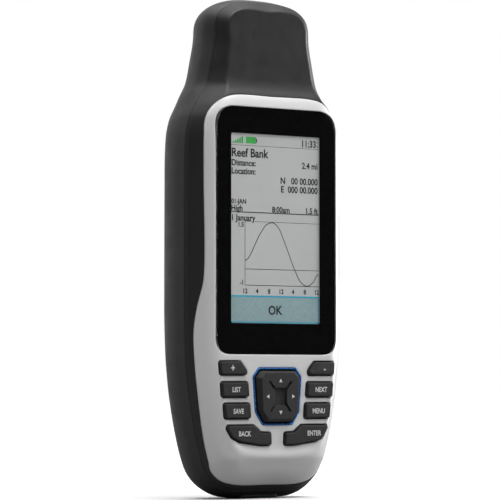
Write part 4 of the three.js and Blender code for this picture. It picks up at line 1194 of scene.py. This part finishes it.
def make_screen_marks(panel_front):
    ink = printed("display_ink", (0.008, 0.009, 0.009))
    green = printed("display_green", (0.05, 0.42, 0.08))
    cyan = printed("display_cyan", (0.03, 0.42, 0.62))
    pale = printed("display_button", (0.29, 0.42, 0.44))
    depth = panel_front - 0.03

    shape = Shape()
    # text, height, place from the display's top-left corner, and the side it is set from
    words = [
        ("11:33", 2.3, (37.0, 2.3), "RIGHT"),
        ("Reef Bank", 2.9, (0.4, 6.4), "LEFT"),
        ("Distance:", 2.1, (0.4, 9.8), "LEFT"),
        ("2.4 mi", 2.1, (37.6, 9.8), "RIGHT"),
        ("Location:", 2.1, (0.4, 12.6), "LEFT"),
        ("N   00 00.000", 2.2, (37.6, 15.2), "RIGHT"),
        ("E  000 00.000", 2.2, (37.6, 18.1), "RIGHT"),
        ("01-JAN", 1.6, (0.4, 22.8), "LEFT"),
        ("High", 2.0, (0.3, 25.0), "LEFT"),
        ("8:00am", 2.0, (21.6, 25.1), "CENTER"),
        ("1.5 ft", 2.0, (37.6, 25.1), "RIGHT"),
        ("1 January", 2.1, (0.2, 28.2), "LEFT"),
        ("1.5", 1.6, (5.7, 30.5), "RIGHT"),
        ("-1", 1.6, (5.7, 49.9), "RIGHT"),
        ("OK", 3.0, (19.05, 59.0), "CENTER"),
    ]
    for text, height, (right, down), align in words:
        weight = SCREEN_WEIGHT * height
        shape.add(*lettering(text, height, on_screen(right, down), depth, align, SCREEN_SQUEEZE, weight))
    hours = ("12", "4", "8", "12", "4", "8", "12")
    for i, hour in enumerate(hours):
        place = on_screen(6.2 + 5.15 * i, 52.7)
        shape.add(*lettering(hour, HOUR_HEIGHT, place, depth, "CENTER", SCREEN_SQUEEZE,
                             SCREEN_WEIGHT * HOUR_HEIGHT))
    for right, down in ((36.9, 1.7), (36.9, 3.1)):
        bar(shape, right + 0.4, right + 0.75, down - 0.2, down + 0.2, depth)
    stroke(shape, tide_curve(), 0.26, depth)
    bar(shape, 0, 38.1, 3.95, 4.07, depth)
    bar(shape, 0, 38.1, 26.25, 26.55, depth)
    bar(shape, 6.1, 6.25, 29.2, 50.9, depth)
    for down, half in ((29.45, 0.06), (45.4, 0.09), (50.8, 0.1)):
        bar(shape, 6.2, 38.1, down - half, down + half, depth)
    bar(shape, 10.95, 11.3, 1.6, 2.9, depth)
    marks = shape.finish("display_marks", ink)

    shape = Shape()
    for i in range(5):
        left = 0.9 + 0.95 * i
        bar(shape, left, left + 0.7, 3.3 - 0.45 * (i + 1), 3.35, depth)
    bar(shape, 6.6, 10.9, 1.05, 3.3, depth)
    icons = shape.finish("display_icons", green)

    shape = Shape()
    bar(shape, 0, 38.1, 54.2, 54.75, depth - 0.01)
    bar(shape, 0, 38.1, 63.0, 63.4, depth - 0.01)
    bar(shape, 0, 0.35, 54.2, 63.4, depth - 0.01)
    bar(shape, 37.75, 38.1, 54.2, 63.4, depth - 0.01)
    borders = shape.finish("display_button_borders", cyan)
    shape = Shape()
    bar(shape, 0, 38.1, 54.4, 63.2, depth + 0.02, 0.006)
    button = shape.finish("display_button", pale)
    for piece in (marks, icons, borders, button):
        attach(piece, "housing")


# ---------------------------------------------------------------------------------------------
# Keypad
# ---------------------------------------------------------------------------------------------

KEY_DRAFT = 0.28
KEY_RIM = 0.32


def make_keys(rubber, legend_paint):
    for node, (row, side, legend, height, place) in KEYS.items():
        loop = key_loop(row, side)
        top = grown(loop, -KEY_DRAFT)
        levels = slab_levels(top, KEY_FACE, KEY_FACE + KEY_RIM + 0.05, KEY_RIM)
        levels += [raised(loop, 0.6), raised(loop, 1.75)]
        flange = grown(loop, 0.5)
        levels += [raised(flange, 1.8), raised(flange, 2.55)]
        piece = Shape().closed(levels).finish(node + "_cap", rubber)
        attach(piece, node)
        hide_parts(node)
        bold = 0.045 if len(legend) > 1 else 0.06
        shape = Shape().add(*lettering(legend, height, place, KEY_FACE - 0.006, weight=bold))
        letters = shape.finish(node + "_legend", legend_paint)
        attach(letters, node)


def arrow(shape, x, z, turn, depth):
    """A small triangle that points up, turned by quarter turns."""
    corners = np.array([(-0.68, -0.5), (0.68, -0.5), (0, 0.7)])
    angle = turn * math.pi / 2
    spin = np.array([(math.cos(angle), math.sin(angle)), (-math.sin(angle), math.cos(angle))])
    loop = corners @ spin + (x, z)
    shape.closed([raised(loop, depth - 0.012), raised(loop, depth + 0.012)])


def make_rocker(rubber, legend_paint, blue):
    base = ring_loop(1.15)
    top = rounded(ROCKER_CORNERS, 1)
    rim = 0.35
    levels = [raised(grown(top, -rim - FLAT_MARGIN), ROCKER_FACE)]
    for angle in np.linspace(math.pi / 2, 0.5, 5):
        inset = rim * (1 - math.cos(angle))
        levels.append(raised(grown(top, -inset), ROCKER_FACE + rim * (1 - math.sin(angle))))
    levels += [raised(base, -0.35), raised(base, -0.1), raised(base, 1.9)]
    flange = grown(base, 0.6)
    levels += [raised(flange, 2.1), raised(flange, 2.65)]
    piece = Shape().closed(levels).finish("rocker_pad", rubber)
    hollow = Shape()
    depths = (ROCKER_FACE - 1, ROCKER_FACE + 0.85)
    loop = rocker_hollow()
    hollow.closed([raised(loop, depths[0]), raised(grown(loop, -0.08), depths[1])])
    combine(piece, placed("hollow", hollow.mesh("hollow")), "DIFFERENCE")
    dressed(piece, rubber, 30)
    bevel = piece.modifiers.new("soft_edges", "BEVEL")
    bevel.width = 0.08 * MM
    bevel.segments = 2
    bevel.limit_method = "ANGLE"
    bevel.angle_limit = math.radians(50)
    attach(piece, "rocker")
    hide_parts("rocker_cap")

    shape = Shape()
    for x, z, turn in ((0, 39.6, 0), (0, 29.0, 2), (-5.4, 34.34, 1), (5.4, 34.34, 3)):
        arrow(shape, x, z, turn, ROCKER_FACE - 0.006)
    arrows = shape.finish("rocker_arrows", legend_paint)
    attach(arrows, "rocker")

    section = ((0.1, 1.5), (0.1, 0), (0.2, -0.12), (0.34, -0.17), (0.5, -0.1), (0.62, 0.1),
               (0.66, 1.5))
    ring = Shape().hoop([
        raised(ring_loop(inset), depth) for inset, depth in section
    ]).finish("rocker_trim_ring", blue)
    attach(ring, "housing")
    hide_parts("rocker_ring")


def rocker_hollow():
    """Outline of the sunken middle: a waisted box with an arm towards each corner."""
    quarter = [(2.6, 34.3), (2.75, 36.3), (5.0, 39.1), (4.55, 39.75), (2.2, 37.3)]
    low = [(2.2, 31.2), (4.05, 28.85), (4.6, 29.4), (2.75, 32.1)]
    half = np.array(low + quarter, float)
    return resample(rounded(np.vstack([half, half[::-1] * (-1, 1)]), 0.45, 4), 0.25)


def sideways(rows, face, depth):
    """Turns rows that face forwards to face the right-hand side."""
    return np.column_stack([face - rows[:, 1], depth + rows[:, 0], rows[:, 2]])


def make_power_key(rubber, legend_paint):
    low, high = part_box("power_key")
    face = high.x / MM - 0.04
    middle = (low.z + high.z) / 2 / MM
    loop, depth = power_key_outline()
    levels = [sideways(rows, face, depth) for rows in slab_levels(loop, 0, POWER_KEY["thickness"], 0.5)]
    piece = Shape().closed(levels).finish("power_key_cap", rubber)
    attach(piece, "power_key")
    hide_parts("power_key")

    angles = np.radians(np.linspace(125, 415, 30))
    arc = np.column_stack([1.15 * np.cos(angles), middle + 1.15 * np.sin(angles)])
    symbol = Shape()
    stroke(symbol, arc, 0.32, -0.012)
    stroke(symbol, np.array([(0, middle + 0.3), (0, middle + 1.6)]), 0.32, -0.012)
    symbol.points = [sideways(rows, face, depth) for rows in symbol.points]
    sign = symbol.finish("power_key_sign", legend_paint)
    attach(sign, "power_key")


# ---------------------------------------------------------------------------------------------
# Back
# ---------------------------------------------------------------------------------------------

def make_battery_door(surface):
    cup = circle(0, LATCH_Z, LATCH_CUP, 56)
    rim = 0.4
    patch = Patch(DOOR_LOOP, [cup], 1.2, rim=rim)
    shape = Shape()
    shape.add(patch.at(back_depth, turn=-1), patch.triangles)
    inner = Patch(DOOR_LOOP, [grown(cup, 1.4)], 3.0)
    shape.add(inner.at(DOOR["inner"]), inner.triangles)
    shape.wall(raised(DOOR_LOOP, back_depth(*DOOR_LOOP.T) - rim), raised(DOOR_LOOP, DOOR["inner"]))
    hole = circle(0, LATCH_Z, 2.5, 32)
    outside = grown(cup, 1.4)
    shape.wall(raised(cup, back_depth(*cup.T) - rim), raised(cup, 26.6))
    for depth, edge in ((26.6, cup), (25.2, outside)):
        floor = Patch(edge, [hole], 3.0)
        shape.add(floor.at(depth), floor.triangles)
    shape.wall(raised(hole, 26.6), raised(hole, 25.2))
    shape.wall(raised(outside, 25.2), raised(outside, DOOR["inner"]))
    piece = shape.finish("battery_door_panel", surface)
    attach(piece, "battery_door")
    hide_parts("battery_door")


SCREW_SIDES = 36


def hexagon(x, z, half):
    """A hexagon with as many points as the round part of a screw, to join to it."""
    angles = np.linspace(0, 2 * math.pi, SCREW_SIDES, endpoint=False)
    reach = half / np.cos(angles % (math.pi / 3) - math.pi / 6)
    return np.column_stack([x + reach * np.cos(angles), z + reach * np.sin(angles)])


def make_screws(steel):
    """Low domed heads with a hexagon socket."""
    for number, (x, z) in enumerate(screw_places(), 1):
        levels = [raised(circle(x, z, radius, SCREW_SIDES), depth) for radius, depth in SCREW_SECTION]
        levels += [raised(hexagon(x, z, half), depth) for half, depth in SCREW_SOCKET]
        node = f"housing_screw_{number}"
        piece = Shape().closed(levels).finish(node + "_head", steel, 30)
        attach(piece, "housing")
        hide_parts(node)


def make_rail(nylon):
    """Rounded T rail with a shallow dimple in its head."""
    loop = rounded_box(-RAIL["head"], RAIL["head"], RAIL["bottom"], RAIL["top"], 1, 0.6)
    dimple = circle(0, (RAIL["bottom"] + RAIL["top"]) / 2, DIMPLE["radius"], 36)
    rim = 0.3
    shape = Shape()
    face = Patch(loop, [dimple], 1.5, rim=rim)
    shape.add(face.at(RAIL["back"], turn=-1), face.triangles)
    shape.wall(raised(loop, RAIL["back"] - rim), raised(loop, RAIL["step"]))
    shape.cap(raised(loop, RAIL["step"]))
    pocket(shape, dimple, RAIL["back"] - rim, RAIL["back"] - DIMPLE["depth"])
    neck = rounded_box(-RAIL["neck"], RAIL["neck"], RAIL["bottom"], RAIL["top"], 0.8, 0.8)
    shape.closed([raised(neck, RAIL["step"] + 0.1), raised(neck, RAIL["root"])])
    piece = shape.finish("clip_rail", nylon)
    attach(piece, "housing")
    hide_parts("mounting_rail")


def make_weather_cap(surface):
    """Flap with a finger ridge, two flex ribs and a round hinge edge."""
    outer = rounded(rectangle(-CAP["half"], CAP["half"], CAP["hinge"] + 0.2, CAP["top"]),
                    (0.4, 0.4, 1.6, 1.6))
    shape = Shape().closed(slab_levels(resample(outer, 0.6), CAP["back"], CAP["front"], 0.45))
    for low, high, half in CAP_RIDGES:
        ridge = rounded_box(-half, half, low, high, (high - low) / 2.2, 0.25)
        shape.closed(slab_levels(ridge, CAP["back"] + 0.28, CAP["back"] - 0.3, 0.1))
    angles = np.linspace(0, 2 * math.pi, 28, endpoint=False)
    levels = []
    for x, radius in CAP_BARREL:
        reach = radius * CAP["barrel"]
        levels.append(np.column_stack([
            np.full(len(angles), x * CAP["half"]),
            28.3 + reach * np.cos(angles),
            CAP["hinge"] + reach * np.sin(angles),
        ]))
    piece = shape.closed(levels).finish("port_flap", surface)
    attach(piece, "weather_cap")
    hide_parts("weather_cap")


def make_latch(steel):
    """The turning disc, its shaft and two ears, and the D-ring that hinges between them."""
    disc = circle(0, LATCH_Z, LATCH["disc"], 64)
    shape = Shape().closed(slab_levels(disc, LATCH["back"], LATCH["front"], 0.18))
    shaft = circle(0, LATCH_Z, LATCH["shaft"], 32)
    shape.closed([raised(shaft, 27.2), raised(shaft, LATCH["tip"])])
    low, high = D_RING["bar"] - EAR["tall"], D_RING["bar"] + EAR["tall"]
    for x in (-EAR["x"], EAR["x"]):
        ear = rounded_box(x - EAR["half"], x + EAR["half"], low, high, 0.5, 0.2)
        shape.closed(slab_levels(ear, EAR["back"], EAR["front"], 0.4))
    rotor = shape.finish("latch_disc", steel)
    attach(rotor, "latch")
    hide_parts("latch_rotor")

    half, bar, bend = D_RING["half"], D_RING["bar"], D_RING["bend"]
    angles = np.linspace(0, -math.pi, 32)
    arc = np.column_stack([half * np.cos(angles), bend + half * np.sin(angles)])
    corners = rounded([(half, bend), (half, bar), (-half, bar), (-half, bend)], (0, 1.2, 1.2, 0), 8)
    top = corners[corners[:, 1] > bend + 0.1]
    path = resample(np.vstack([arc, top[::-1]]), 0.35)
    ahead = np.roll(path, -1, axis=0) - np.roll(path, 1, axis=0)
    ahead /= np.linalg.norm(ahead, axis=1)[:, None]
    turns = np.linspace(0, 2 * math.pi, 16, endpoint=False)
    rings = []
    for place, (run_x, run_z) in zip(path, ahead):
        out = D_RING["wire"] * np.cos(turns)
        rings.append(np.column_stack([
            place[0] - run_z * out,
            D_RING["depth"] + D_RING["wire"] * np.sin(turns),
            place[1] + run_x * out,
        ]))
    ring = Shape().hoop(rings).finish("latch_d_ring", steel)
    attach(ring, "d_ring")
    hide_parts("d_ring")


# ---------------------------------------------------------------------------------------------
# Assembly
# ---------------------------------------------------------------------------------------------

def dress_cad_nodes():
    """The CAD parts that stay in view keep their shape and take a finish by their slot."""
    finishes = {
        "soft_touch_black": housing_plastic(),
        "rear_rubber": grip_rubber(),
        "steel": brushed("satin_steel", (0.56, 0.56, 0.57)),
        "gold_plate": brushed("gold_plate", (0.75, 0.52, 0.2)),
        "silicone": moulded("black_silicone", (0.02, 0.02, 0.022), 0.75),
        "circuit_board": circuit_board(),
        "antenna_ceramic": moulded("ceramic", (0.55, 0.52, 0.45), 0.5, 0.4),
        "nylon": moulded("black_nylon", (0.022, 0.022, 0.024), 0.5),
        "cell_sleeve": brushed("cell_sleeve", (0.16, 0.2, 0.25), 0.35),
    }
    slots = {row["node"]: row["material_slot"] for row in frame["record"]["subparts"]}
    for name, node in frame["nodes"].items():
        finish = finishes.get(slots[name], finishes["nylon"])
        node.data.materials.clear()
        node.data.materials.append(finish)
    return finishes


bpy.context.scene.view_settings.view_transform = "Standard"
make_camera()
make_world()
make_lights()
make_floor()
finishes = dress_cad_nodes()
rubber = key_rubber()
white = printed("legend_white", (0.8, 0.8, 0.8), 0.5)
make_front_housing(finishes["soft_touch_black"])
make_rear_housing(finishes["rear_rubber"])
make_face_plate(pearl_plastic())
make_lens(clear_glass(), border_print())
make_screen_marks(make_display(display_panel()))
make_keys(rubber, white)
make_rocker(rubber, white, blue_metal())
make_power_key(rubber, white)
make_battery_door(finishes["rear_rubber"])
make_screws(finishes["steel"])
make_rail(finishes["nylon"])
make_weather_cap(finishes["rear_rubber"])
make_latch(finishes["steel"])
